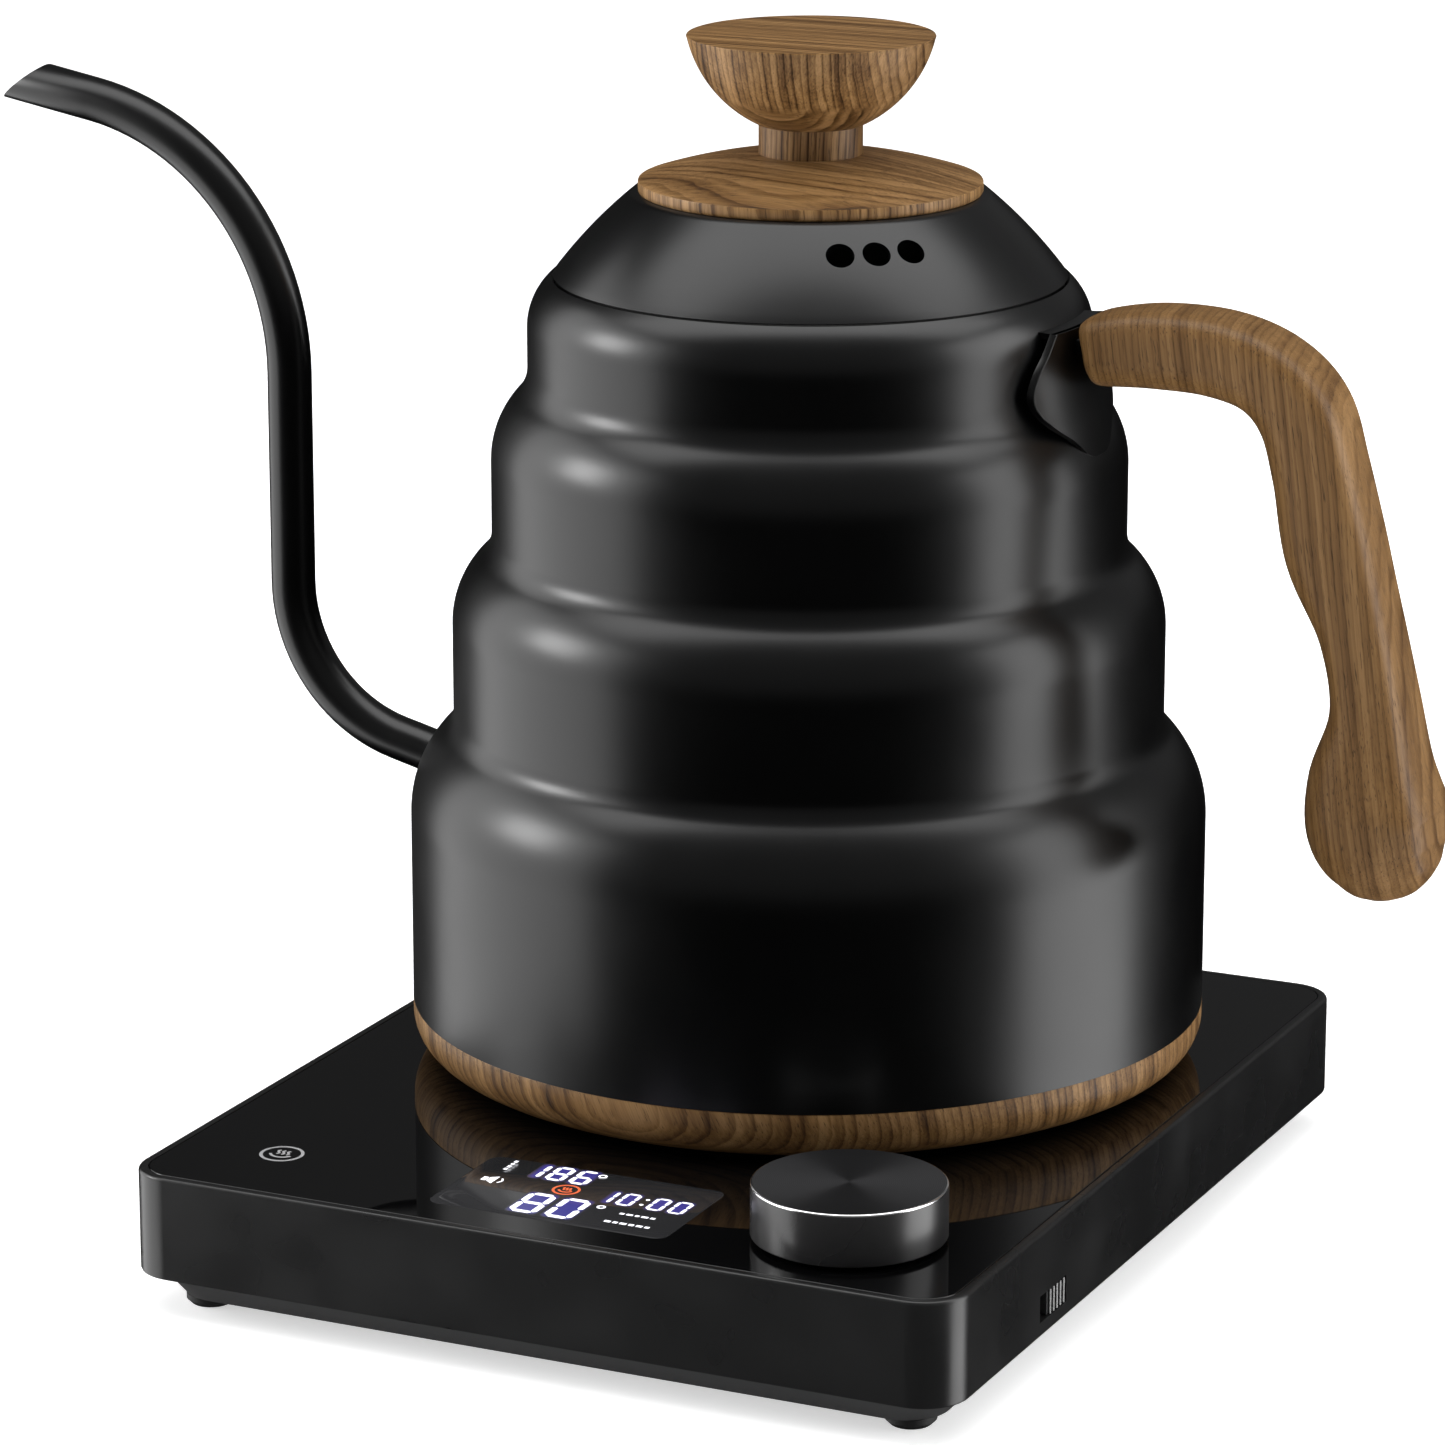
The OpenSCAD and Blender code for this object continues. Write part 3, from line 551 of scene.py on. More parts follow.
def body_curve(inset, top_turn=None):
    """The stepped outline of the body, or its inner face at that inset, from the foot to the top."""
    line = [(TIER_R[0] - inset, RING_TOP)]
    for i, turn in enumerate(SHOULDER_TURN):
        centre = (TIER_R[i] - SHOULDER_R[i], SHOULDER_Z[i])
        end = turn if i < LAST or top_turn is None else top_turn
        line += arc(centre, SHOULDER_R[i] - inset, 0, end, SHOULDER_STEPS)
        if i < LAST:
            angle = math.radians(turn)
            hollow = (TIER_R[i] - TIER_R[i + 1]) / (1 - math.cos(angle)) - SHOULDER_R[i]
            reach = SHOULDER_R[i] + hollow
            inner = (centre[0] + reach * math.cos(angle), centre[1] + reach * math.sin(angle))
            line += arc(inner, hollow + inset, 180 + turn, 180, HOLLOW_STEPS)[1:]
    return line


def kettle_body():
    """The steel body: four tiers, the ledge that the lid sits on, and the neck that guides the lid."""
    inner_r = SHOULDER_R[LAST] - WALL
    centre = (TIER_R[LAST] - SHOULDER_R[LAST], SHOULDER_Z[LAST])

    def turn_at(z):
        return math.degrees(math.asin((z - centre[1]) / inner_r))

    def tag(a, b):
        return 1 if profile.index(b) >= seam else 0

    rim = arc(centre, inner_r, SHOULDER_TURN[LAST], turn_at(LEDGE_Z), 4)
    neck = rounded([(LEDGE_R, LEDGE_Z, 0.3), (MOUTH_R, LEDGE_Z, 0.35), (MOUTH_R, NECK_LOW, 0.2),
                    (MOUTH_R + WALL, NECK_LOW, 0.2), (MOUTH_R + WALL, LEDGE_Z - WALL, 0.3)], 3)[4:]
    inside = body_curve(WALL, turn_at(LEDGE_Z - WALL))[::-1]
    outside = body_curve(0)
    profile = outside + rim + neck + inside
    seam = len(outside)
    shell = lathe("kettle_body", KETTLE, profile, COATED, ROUND_SIDES, tag, ENAMEL_SHARP)
    root, heading = SPOUT_ROOT
    hole = cylinder("hole", KETTLE, (-root[0], 0, root[1]), (-math.cos(heading), 0, math.sin(heading)),
                    SPOUT_R - SPOUT_WELD, SPOUT_RUN_IN)
    combine(shell, hole, "DIFFERENCE")
    own(smooth(shell, ENAMEL_SHARP), "kettle", "black_enamel", "kettle_shell")


SPOUT_R = 4.3
SPOUT_X = 110.4
SPOUT_RUN_IN = 15.0
# How much smaller than the tube its hole in the body is
SPOUT_WELD = 0.4
SPOUT_SIDES = 48
# The two bends: radius, height of the centre, degrees turned. Then the steps of each, and of the upright
LOW_BEND = (30.0, 79.2, 76.0)
HIGH_BEND = (51.0, 120.7, 80.0)
LOW_STEPS, HIGH_STEPS, UPRIGHT_STEPS = 20, 28, 8
TIP_AT = (168.2, 173.3)
TIP_SLOPE = math.radians(36.5)
# The softened lip, from the outside to the bore: (how far in from each face, how far back from the cut)
LIP_OUTSIDE = ((0, 0.2), (0.08, 0.05), (0.25, 0))
LIP_BORE = ((0.25, 0), (0.08, 0.05), (0, 0.2))


def spout_line():
    """The spout's centre line, as (distance from the axis, height, heading)."""
    low_r, low_z, low_turn = LOW_BEND
    high_r, high_z, high_turn = HIGH_BEND
    low_arc = arc((SPOUT_X - low_r, low_z), low_r, -low_turn, 0, LOW_STEPS)
    low = [(x, z, math.radians(90 - low_turn * (1 - i / LOW_STEPS))) for i, (x, z) in enumerate(low_arc)]
    high_arc = arc((SPOUT_X + high_r, high_z), high_r, 180, 180 - high_turn, HIGH_STEPS)
    high = [(x, z, math.radians(90 - high_turn * i / HIGH_STEPS)) for i, (x, z) in enumerate(high_arc)]
    x, z, heading = low[0]
    root = [(x - back * math.cos(heading), z - back * math.sin(heading), heading)
            for back in (SPOUT_RUN_IN, SPOUT_RUN_IN / 2)]
    upright = [(SPOUT_X, low_z + (high_z - low_z) * i / UPRIGHT_STEPS, math.pi / 2)
               for i in range(1, UPRIGHT_STEPS)]
    return root + low + upright + high


SPOUT_ROOT = (spout_line()[0][:2], spout_line()[0][2])


def spout():
    """A swept tube with a slanting, slightly softened cut at its tip."""
    line = spout_line()
    normal = (math.sin(TIP_SLOPE), math.cos(TIP_SLOPE))

    def ring(at, radius, cut=None):
        x, z, heading = at
        made = []
        for up, side in circle(0, 0, radius, SPOUT_SIDES):
            px, pz = x - up * math.sin(heading), z + up * math.cos(heading)
            if cut is not None:
                gap = (TIP_AT[0] - px) * normal[0] + (TIP_AT[1] - pz) * normal[1] - cut
                along = gap / (math.cos(heading) * normal[0] + math.sin(heading) * normal[1])
                px, pz = px + along * math.cos(heading), pz + along * math.sin(heading)
            made.append((-px, side, pz))
        return made

    outer = [ring(at, SPOUT_R) for at in line]
    inner = [ring(at, SPOUT_R - WALL) for at in line]
    lip = [ring(line[-1], SPOUT_R - inward, back) for inward, back in LIP_OUTSIDE]
    lip += [ring(line[-1], SPOUT_R - WALL + outward, back) for outward, back in LIP_BORE]
    rings = outer + lip + inner[::-1]
    points = [p for made in rings for p in made]
    faces = []
    for i in range(len(rings)):
        here, there = i * SPOUT_SIDES, (i + 1) % len(rings) * SPOUT_SIDES
        for k in range(SPOUT_SIDES):
            m = (k + 1) % SPOUT_SIDES
            faces.append([here + k, here + m, there + m, there + k])
    tags = [0] * (SPOUT_SIDES * (len(outer) + len(lip) - 1)) + [1] * (SPOUT_SIDES * (len(inner) + 1))
    made = build("gooseneck_spout", KETTLE, points, faces, COATED, ENAMEL_SHARP, tags)
    own(made, "kettle", "black_enamel", "spout_tube")


FOOT_BORE, FOOT_LOW, FOOT_ROUND = 66.0, 1.2, 7.4
# The spigot inside the steel: how far up it goes, and how far in its inner face is
SPIGOT_H, SPIGOT_IN = 3, 3.5
# The lip that holds the bottom cover: its bore, its underside and its top
LIP_R, LIP_LOW, LIP_TOP = 56.0, 3.6, 6.3


def foot_ring():
    """The wooden ring under the body, with a round lower edge and a spigot inside the steel."""
    outer = TIER_R[0]
    profile = [(FOOT_BORE, FOOT_LOW + 0.5), (FOOT_BORE + 0.15, FOOT_LOW + 0.15), (FOOT_BORE + 0.5, FOOT_LOW)]
    profile += arc((outer - FOOT_ROUND, FOOT_LOW + FOOT_ROUND), FOOT_ROUND, -90, 0, 16)
    profile += [(outer, RING_TOP - 0.25), (outer - 0.1, RING_TOP - 0.05), (outer - 0.3, RING_TOP)]
    profile += [(outer - WALL, RING_TOP), (outer - WALL, RING_TOP + SPIGOT_H),
                (outer - SPIGOT_IN, RING_TOP + SPIGOT_H), (outer - SPIGOT_IN, RING_TOP)]
    profile += [(FOOT_BORE, RING_TOP), (FOOT_BORE, LIP_TOP), (LIP_R, LIP_TOP), (LIP_R, LIP_LOW),
                (FOOT_BORE, LIP_LOW)]
    made = lathe("walnut_foot_ring", KETTLE, profile, [MATERIALS["walnut"]], ROUND_SIDES)
    own(made, "kettle", "walnut", "wood_base_ring")


# Handle stations: distance from the axis, height, half thickness, half width
GRIP = [(57, 140.2, 5.4, 7), (59, 140.5, 6.6, 8.2), (69, 141.6, 7.3, 8.8), (81, 141.2, 7.4, 8.8),
        (90.6, 138.2, 7.3, 8.7), (97, 131.8, 7.8, 8.6), (100.3, 121.5, 8, 8.4), (103.7, 107, 8.6, 8.4),
        (108.9, 92.8, 6.9, 8.4), (111.8, 79, 7.3, 9.2), (111.6, 66, 10.8, 11), (113, 57.5, 12.0, 12),
        (116, 51.4, 9.95, 10.7), (118.3, 47.8, 7, 7.5), (119.4, 46.1, 4.3, 4.7), (119.9, 45.3, 1.8, 2)]
# How square the section is, as (across, along) powers: the side away from the kettle, then the one towards it
SQUARE_BACK = (0.42, 0.50)
SQUARE_FRONT = (0.80, 0.66)
# The rounded start, as (share of the section, how far along), and the closing ring at the bulb's end
GRIP_START = ((0.35, -0.45), (0.7, -0.4), (0.9, -0.2))
GRIP_END = (0.5, 0.15)
GRIP_SIDES, GRIP_STEPS, GRIP_SHARP = 64, 8, 60
TONGUE_SLOT = ((54, -5, 139.8), (82.2, 5, 142.6))


def spline(a, b, c, d, t):
    """The point a share t of the way from b to c, on a smooth line through all four."""
    return [0.5 * (2 * q + (r - p) * t + (2 * p - 5 * q + 4 * r - s) * t * t
                   + (3 * q - p - 3 * r + s) * t ** 3) for p, q, r, s in zip(a, b, c, d)]


def smooth_line(points, steps):
    """A smooth line through the points."""
    last = len(points) - 1
    line = [spline(points[max(i - 1, 0)], points[i], points[i + 1], points[min(i + 2, last)], k / steps)
            for i in range(last) for k in range(steps)]
    return line + [list(points[-1])]


def grip():
    """The carved handle: an oval section, squarer on its outer side, swept from the bracket to the bulb."""
    line = smooth_line(GRIP, GRIP_STEPS)

    def ring(i, scale=1.0, push=0.0):
        x, z, thick, wide = line[i]
        before, after = line[max(i - 1, 0)], line[min(i + 1, len(line) - 1)]
        way = Vector((after[0] - before[0], after[1] - before[1])).normalized()
        x, z = x + way.x * push, z + way.y * push
        made = []
        for c, s in circle(0, 0, 1, GRIP_SIDES):
            across, along = SQUARE_BACK if c > 0 else SQUARE_FRONT
            u = math.copysign(abs(c) ** across, c) * thick * scale
            v = math.copysign(abs(s) ** along, s) * wide * scale
            made.append((x - way.y * u, v, z + way.x * u))
        return made

    rings = [ring(0, share, push) for share, push in GRIP_START]
    rings += [ring(i) for i in range(len(line))] + [ring(len(line) - 1, *GRIP_END)]
    made = loft("walnut_grip", KETTLE, rings, [WALNUT_GRIP], GRIP_SHARP)
    combine(made, cuboid("tongue", KETTLE, *TONGUE_SLOT), "DIFFERENCE")
    own(smooth(made, GRIP_SHARP), "kettle", "walnut", "handle_grip")


# Outer face of the bracket's plate (radius, height), and half its leaf-shaped outline (across, height)
PLATE = [(58.4, 119.5), (57.8, 123), (56.9, 127), (56, 131), (55.4, 136), (55.2, 144.6)]
LEAF = [(0.4, 120.3), (5, 121.4), (9.5, 124.8), (14.5, 128), (18, 131.5), (18.6, 134.4), (16.8, 138),
        (14.2, 141.2), (11.9, 144.6)]
LEAF_STEPS, LEAF_HALF_COLUMNS = 8, 16
# The plate's layers: (depth from its outer face, how far in the outline is)
LEAF_LAYERS = ((0.0, 0.35), (0.3, 0.0), (1.2, 0.0))
# The fold over the shoulder: its section (radius, height), and the degrees it covers to each side
FOLD = ((48.4, 143.5), (54.9, 143.5), (55.15, 143.7), (55.15, 144.4), (54.9, 144.6), (48.4, 144.6))
FOLD_TURN, FOLD_STEPS = 12.5, 8
# The tongue: where it starts and ends, its height, and its half section with the corner's radius
TONGUE_X, TONGUE_Z, TONGUE_HALF = (54, 82), 141.2, (5, 1.4, 0.4)
BRACKET_SHARP = 50


def bracket():
    """The leaf-shaped plate that carries the handle, folded over on top, with a tongue into the grip."""
    reach = smooth_line(PLATE, 10)
    black = [MATERIALS["black_enamel"]]

    def radius(z):
        for (r0, z0), (r1, z1) in zip(reach, reach[1:]):
            if z <= z1:
                return r0 + (r1 - r0) * max(z - z0, 0) / (z1 - z0)
        return reach[-1][0]

    rows = smooth_line(LEAF, LEAF_STEPS)
    columns = range(-LEAF_HALF_COLUMNS, LEAF_HALF_COLUMNS + 1)
    across = [math.sin(math.pi / 2 * k / LEAF_HALF_COLUMNS) for k in columns]
    points, faces = [], []
    for depth, shrink in LEAF_LAYERS:
        for half, z in rows:
            r = radius(z) - depth
            for share in across:
                y = share * max(half - shrink, 0.05)
                points.append((math.sqrt(r * r - y * y), y, max(z, rows[0][1] + shrink)))
    wide, layer = len(across), len(rows) * len(across)
    for start in (0, 2 * layer):
        for i in range(len(rows) - 1):
            for a in range(start + i * wide, start + i * wide + wide - 1):
                faces.append([a, a + 1, a + wide + 1, a + wide])
    rim = [i * wide for i in range(len(rows) - 1, 0, -1)] + list(range(wide))
    rim += [i * wide + wide - 1 for i in range(1, len(rows))]
    rim += [(len(rows) - 1) * wide + k for k in range(wide - 2, 0, -1)]
    for low in (0, layer):
        for a, b in zip(rim, rim[1:] + rim[:1]):
            faces.append([low + a, low + b, low + layer + b, low + layer + a])
    leaf = build("bracket_leaf", KETTLE, points, faces, black, BRACKET_SHARP)

    turns = [math.radians(FOLD_TURN * k / FOLD_STEPS) for k in range(-FOLD_STEPS, FOLD_STEPS + 1)]
    sections = [[(r * math.cos(a), r * math.sin(a), z) for r, z in FOLD] for a in turns]
    fold = loft("bracket_fold", KETTLE, sections, black, BRACKET_SHARP)

    y, z, corner = TONGUE_HALF
    section = rounded([(-y, -z, corner), (y, -z, corner), (y, z, corner), (-y, z, corner)], 3)
    ends = [[(x, across_it, up + TONGUE_Z) for across_it, up in section] for x in TONGUE_X]
    tongue = loft("bracket_tongue", KETTLE, ends, black, BRACKET_SHARP)
    mount = join("handle_mount", [leaf, fold, tongue])
    mount.data.materials.append(MATERIALS["black_enamel"])
    own(smooth(mount, BRACKET_SHARP), "kettle", "black_enamel", "handle_bracket")


# ---- lid
LID_RIM = 47.6
LID_SEAM = 149.35
LID_FLAT = 33.0
LID_TOP = 164.7
LID_BULGE = 90.0
DISC_R = 31.8
DISC_TOP = 167.0
DISC_MID = 171.8
DISC_CROWN = 110.0
KNOB_R = 22.9
KNOB_TOP = 193.7
STEM_R = 9.6
STEM_TOP = 177.2
KNOB_ROUND = 23.5
WOOD_SIDES = 192
# The three vents: radius, and where the middle one's axis meets the dome (turn, rise, radius, height)
VENT_R, VENT_LENGTH, VENT_SIDES = 2.6, 8, 40
VENT_TURN, VENT_PITCH, VENT_RISE, VENT_AT = -47.7, 10, math.radians(46), (38.1, 159.65)


def lid():
    """The steel dome with its vents, the crowned wooden disc on it and the wooden knob."""
    dome = bulge((LID_RIM, LID_SEAM), (LID_FLAT, LID_TOP), LID_BULGE, 24)
    under = bulge((LID_RIM - 1.4, LID_SEAM - 0.15), (LID_FLAT - 0.4, LID_TOP - WALL), LID_BULGE, 16)[::-1]
    profile = [(46.2, LEDGE_Z + 0.1), (47.0, LEDGE_Z + 0.1), (47.0, LID_SEAM - 0.2),
               (LID_RIM - 0.25, LID_SEAM - 0.12), (LID_RIM - 0.05, LID_SEAM + 0.02)]
    profile += dome[1:] + [(0, LID_TOP), (0, LID_TOP - WALL)] + under

    def tag(a, b):
        return 1 if a in under and b in under else 0

    cover = lathe("lid_dome", KETTLE, profile, COATED, ROUND_SIDES, tag, ENAMEL_SHARP)
    vents = []
    for k in (-1, 0, 1):
        turn = math.radians(VENT_TURN + VENT_PITCH * k)
        out = Vector((math.cos(turn), math.sin(turn), 0))
        way = out * math.cos(VENT_RISE) + Vector((0, 0, math.sin(VENT_RISE)))
        start = out * VENT_AT[0] + Vector((0, 0, VENT_AT[1])) - way * (VENT_LENGTH / 2)
        vents.append(cylinder("vent", KETTLE, start, way, VENT_R, VENT_LENGTH, VENT_SIDES))
    combine(cover, join("vents", vents), "DIFFERENCE")
    own(smooth(cover, ENAMEL_SHARP), "lid", "black_enamel", "lid_cover")

    plate = [(0, LID_TOP), (DISC_R - 0.5, LID_TOP), (DISC_R - 0.15, LID_TOP + 0.15), (DISC_R, LID_TOP + 0.5)]
    plate += [(DISC_R, DISC_TOP - 0.3), (DISC_R - 0.08, DISC_TOP - 0.1)]
    plate += bulge((DISC_R - 0.3, DISC_TOP), (STEM_R, DISC_MID), DISC_CROWN, 16) + [(0, DISC_MID)]
    own(lathe("walnut_disc", KETTLE, plate, [WALNUT_DISC], WOOD_SIDES), "lid", "walnut", "lid_disc")

    bowl = bulge((STEM_R, STEM_TOP), (KNOB_R, KNOB_TOP), KNOB_ROUND, 32)
    knob = [(0, DISC_MID - 0.01), (STEM_R, DISC_MID - 0.01)] + bowl[:-1]
    knob += [(KNOB_R, KNOB_TOP - 0.25), (KNOB_R - 0.08, KNOB_TOP - 0.07), (KNOB_R - 0.3, KNOB_TOP),
             (0, KNOB_TOP)]
    own(lathe("walnut_knob", KETTLE, knob, [WALNUT_KNOB], WOOD_SIDES), "lid", "walnut", "lid_knob")


# ---- base
BASE_LOW, BASE_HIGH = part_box("base_housing")
BASE_W = (BASE_HIGH.x - BASE_LOW.x) / MM
BASE_D = (BASE_HIGH.y - BASE_LOW.y) / MM
CORNER = 8.6
BASE_H = 19.4
RIM = 1.8
GLASS_T = 2.5
DECK_LOW = -4.5
SIDE = 2.4
COUPLER_AT, DIAL_AT, TOUCH_AT, WINDOW_AT = [(at - BASE) / MM for at in (KETTLE, DIAL, TOUCH, DISPLAY)]
HOUSING_SHARP, GLASS_SHARP = 40, 50
# The holes' radii in the deck and in the glass (with their sides), and half the display's opening
DECK_HOLES = ((COUPLER_AT, 17.2), (DIAL_AT, 4.2), (TOUCH_AT, 6.5))
GLASS_HOLES = ((COUPLER_AT, 16.3, 96), (DIAL_AT, 3.6, 64))
OPENING = (24.8, 15.2)
CUT_LOW = -8
# The side switch's slot: from and to, along the side and upwards. Then the cord's way in at the back
SLOT = ((-57.0, -44.8), (-16.7, -11.7))
SLOT_DEPTH = 3.4
CORD_R, CORD_Z, CORD_CUT = 5.0, -11, 8


def housing():
    """Four walls, the thin rim and the deck under the glass, with the openings through them."""
    stations = [(SIDE, DECK_LOW), (SIDE, -BASE_H + 0.2), (SIDE - 0.2, -BASE_H), (0.5, -BASE_H),
                (0.15, -BASE_H + 0.12), (0, -BASE_H + 0.5), (0, -0.75), (0.06, -0.45), (0.22, -0.2),
                (0.45, -0.05), (0.75, 0), (RIM - 0.25, 0), (RIM - 0.07, -0.06), (RIM, -0.25), (RIM, -GLASS_T)]
    made = slab("base_walls", BASE, (BASE_W, BASE_D), CORNER, stations, [MATERIALS["base_plastic"]],
                HOUSING_SHARP)
    (y0, y1), (z0, z1) = SLOT
    x, y, side = WINDOW_AT.x, WINDOW_AT.y, BASE_W / 2
    cutters = [cylinder("c", BASE, (at.x, at.y, CUT_LOW), (0, 0, 1), radius, 10) for at, radius in DECK_HOLES]
    cutters += [cuboid("c", BASE, (x - OPENING[0], y - OPENING[1], CUT_LOW),
                       (x + OPENING[0], y + OPENING[1], 0)),
                cuboid("c", BASE, (side - SLOT_DEPTH, y0, z0), (side + 1, y1, z1)),
                cylinder("c", BASE, (0, BASE_D / 2 - CORD_CUT / 2, CORD_Z), (0, 1, 0), CORD_R, CORD_CUT)]
    combine(made, join("cutters", cutters), "DIFFERENCE")
    own(weigh(smooth(made, HOUSING_SHARP)), "base", "base_plastic", "base_housing")


def glass():
    """The polished top, with a ground edge, and holes for the coupler and the dial's shaft."""
    inset = RIM + 0.06
    stations = [(inset, -GLASS_T + 0.02), (inset, -0.25), (inset + 0.08, -0.08), (inset + 0.25, 0)]
    made = slab("glass_plate", BASE, (BASE_W, BASE_D), CORNER, stations, [MATERIALS["black_glass"]],
                GLASS_SHARP)
    cutters = [cylinder("c", BASE, (at.x, at.y, -6), (0, 0, 1), radius, 8, sides)
               for at, radius, sides in GLASS_HOLES]
    combine(made, join("cutters", cutters), "DIFFERENCE")
    own(weigh(smooth(made, GLASS_SHARP)), "base", "black_glass", "glass_top")


# Marks lie one above the other on the glass, a few hundredths of a millimetre apart
WINDOW_Z, HALO_Z, MARK_Z = 0.012, 0.020, 0.030
WINDOW_SIZE, WINDOW_CORNER = (46.8, 27.0), 2.6
HALO_SOFT, HALO_CORNER = 0.5, 0.9
# The gap at a segment's end, as a share of the stroke, and which segments each figure lights
SEGMENT_GAP = 0.12
SEGMENTS = {"0": "abcdef", "1": "bc", "6": "acdefg", "8": "abcdefg"}
# Target, present temperature and time: (text, x, y, width, height, stroke, pitch)
NUMBERS = (("186", -14.6, 5.9, 3.7, 7.2, 0.9, 4.7), ("80", -8.4, -11.2, 5.4, 10.2, 1.15, 6.9),
           ("10:00", 3.2, -0.6, 3.1, 6.2, 0.66, 4.2))
# A colon's dots: how far in, radius in strokes, heights in figures, and its pitch in figures
COLON_IN, COLON_DOT, COLON_UP, COLON_PITCH = 0.5, 0.62, (0.28, 0.72), 0.42
# Plain bars in place of small words: (x, y, the bars' widths, height). One row stands upright
WORDS = ((10.6, -4.8, (0.9, 1.2, 0.8, 1.3, 0.9), 0.75), (9.8, -9.4, (1.2, 0.9, 1.3, 1.0, 1.2, 0.9), 0.85))
UPRIGHT_WORD = (7.4, -18.6, (0.9, 1.1, 0.8, 1.0), 0.7)
WORD_GAP = 0.45
DEGREES, DEGREE_R, DEGREE_LINE = ((-0.6, 11.6), (6.2, -2.9)), 0.65, 0.4
SPEAKER = [[(-19.8, 0.9), (-18.8, 0.9), (-18.8, 2.7), (-19.8, 2.7)],
           [(-18.6, 0.9), (-17.2, -0.1), (-17.2, 3.7), (-18.6, 2.7)]]
SOUND, SOUND_LINE = ((-17.4, 1.8), 1.5, -48, 48, 8), 0.35
# Where a steam mark is, its radius and its line's width
HEAT_MARK, TOUCH_KEY = (-3.4, 2.5, 2.6, 0.5), (0, 0.5, 4.1, 0.62)


def flat_mark(name, origin, outlines, material):
    """Flat printed or lit outlines just above the glass."""
    points, faces = [], []
    for outline in outlines:
        faces.append(list(range(len(points), len(points) + len(outline))))
        points += [(x, y, MARK_Z) for x, y in outline]
    own(build(name, origin, points, faces, [material]), "base", "display_grey")


def segment(p, q, width, gap):
    """One lit bar with pointed ends, from p to q."""
    p, q = Vector(p), Vector(q)
    way = (q - p).normalized()
    side = Vector((-way.y, way.x)) * (width / 2)
    p, q = p + way * gap, q - way * gap
    tip = way * (width / 2)
    return [tuple(v) for v in (p, p + tip + side, q - tip + side, q, q - tip - side, p + tip - side)][::-1]


def digit(figure, x, y, wide, high, stroke):
    """The lit bars of one seven-segment digit whose lower left corner is at x, y."""
    half = stroke / 2
    left, right, low, top, mid = x + half, x + wide - half, y + half, y + high - half, y + high / 2
    ends = {"a": ((left, top), (right, top)), "b": ((right, mid), (right, top)),
            "c": ((right, low), (right, mid)), "d": ((left, low), (right, low)),
            "e": ((left, low), (left, mid)), "f": ((left, mid), (left, top)),
            "g": ((left, mid), (right, mid))}
    return [segment(*ends[name], stroke, SEGMENT_GAP * stroke) for name in SEGMENTS[figure]]


def ribbon(points, width):
    """Quads of even width along a line."""
    points = [Vector(p) for p in points]
    made, sides = [], []
    for i, p in enumerate(points):
        way = (points[min(i + 1, len(points) - 1)] - points[max(i - 1, 0)]).normalized()
        sides.append(Vector((-way.y, way.x)) * (width / 2))
    for i in range(len(points) - 1):
        a, b, s, t = points[i], points[i + 1], sides[i], sides[i + 1]
        made.append([tuple(v) for v in (a - s, b - t, b + t, a + s)])
    return made


def hoop(x, y, r, width, steps):
    line = circle(x, y, r, steps)
    return ribbon(line + line[:1], width)


def steam_mark(x, y, r, width):
    """A ring with three wavy lines over a smile: heat, kept."""
    smile = arc((x, y + 0.1 * r), 0.55 * r, 205, 335, 12)
    made = hoop(x, y, r - width / 2, width, 48) + ribbon(smile, width * 0.9)
    for k in (-1, 0, 1):
        line = [(x + 0.24 * r * k + 0.07 * r * math.sin(math.tau * t / 10), y - 0.08 * r + 0.5 * r * t / 10)
                for t in range(11)]
        made += ribbon(line, width * 0.8)
    return made


def bars(x, y, widths, high):
    """A row of plain bars in place of a small word."""
    made = []
    for wide in widths:
        made.append([(x, y), (x + wide, y), (x + wide, y + high), (x, y + high)])
        x += wide + WORD_GAP
    return made


def halo_mesh(groups):
    """Soft-edged patches round each group of digits, brightest inside."""
    points, faces, fades = [], [], []
    for x0, y0, x1, y1 in groups:
        start = len(points)
        for grow, fade in ((-HALO_SOFT, 1.0), (HALO_SOFT, 0.0)):
            ring = rectangle(x1 - x0 + 2 * grow, y1 - y0 + 2 * grow, HALO_CORNER + grow / 2, HALO_Z, 5)
            points += [(px + (x0 + x1) / 2, py + (y0 + y1) / 2, z) for px, py, z in ring]
            fades += [fade] * len(ring)
        count = len(ring)
        faces.append(list(range(start, start + count)))
        faces += [[start + k, start + count + k, start + count + (k + 1) % count, start + (k + 1) % count]
                  for k in range(count)]
    made = build("display_halo", DISPLAY, points, faces, [HALO])
    layer = made.data.attributes.new("fade", "FLOAT", "POINT")
    layer.data.foreach_set("value", fades)
    return own(made, "base", "display_grey")


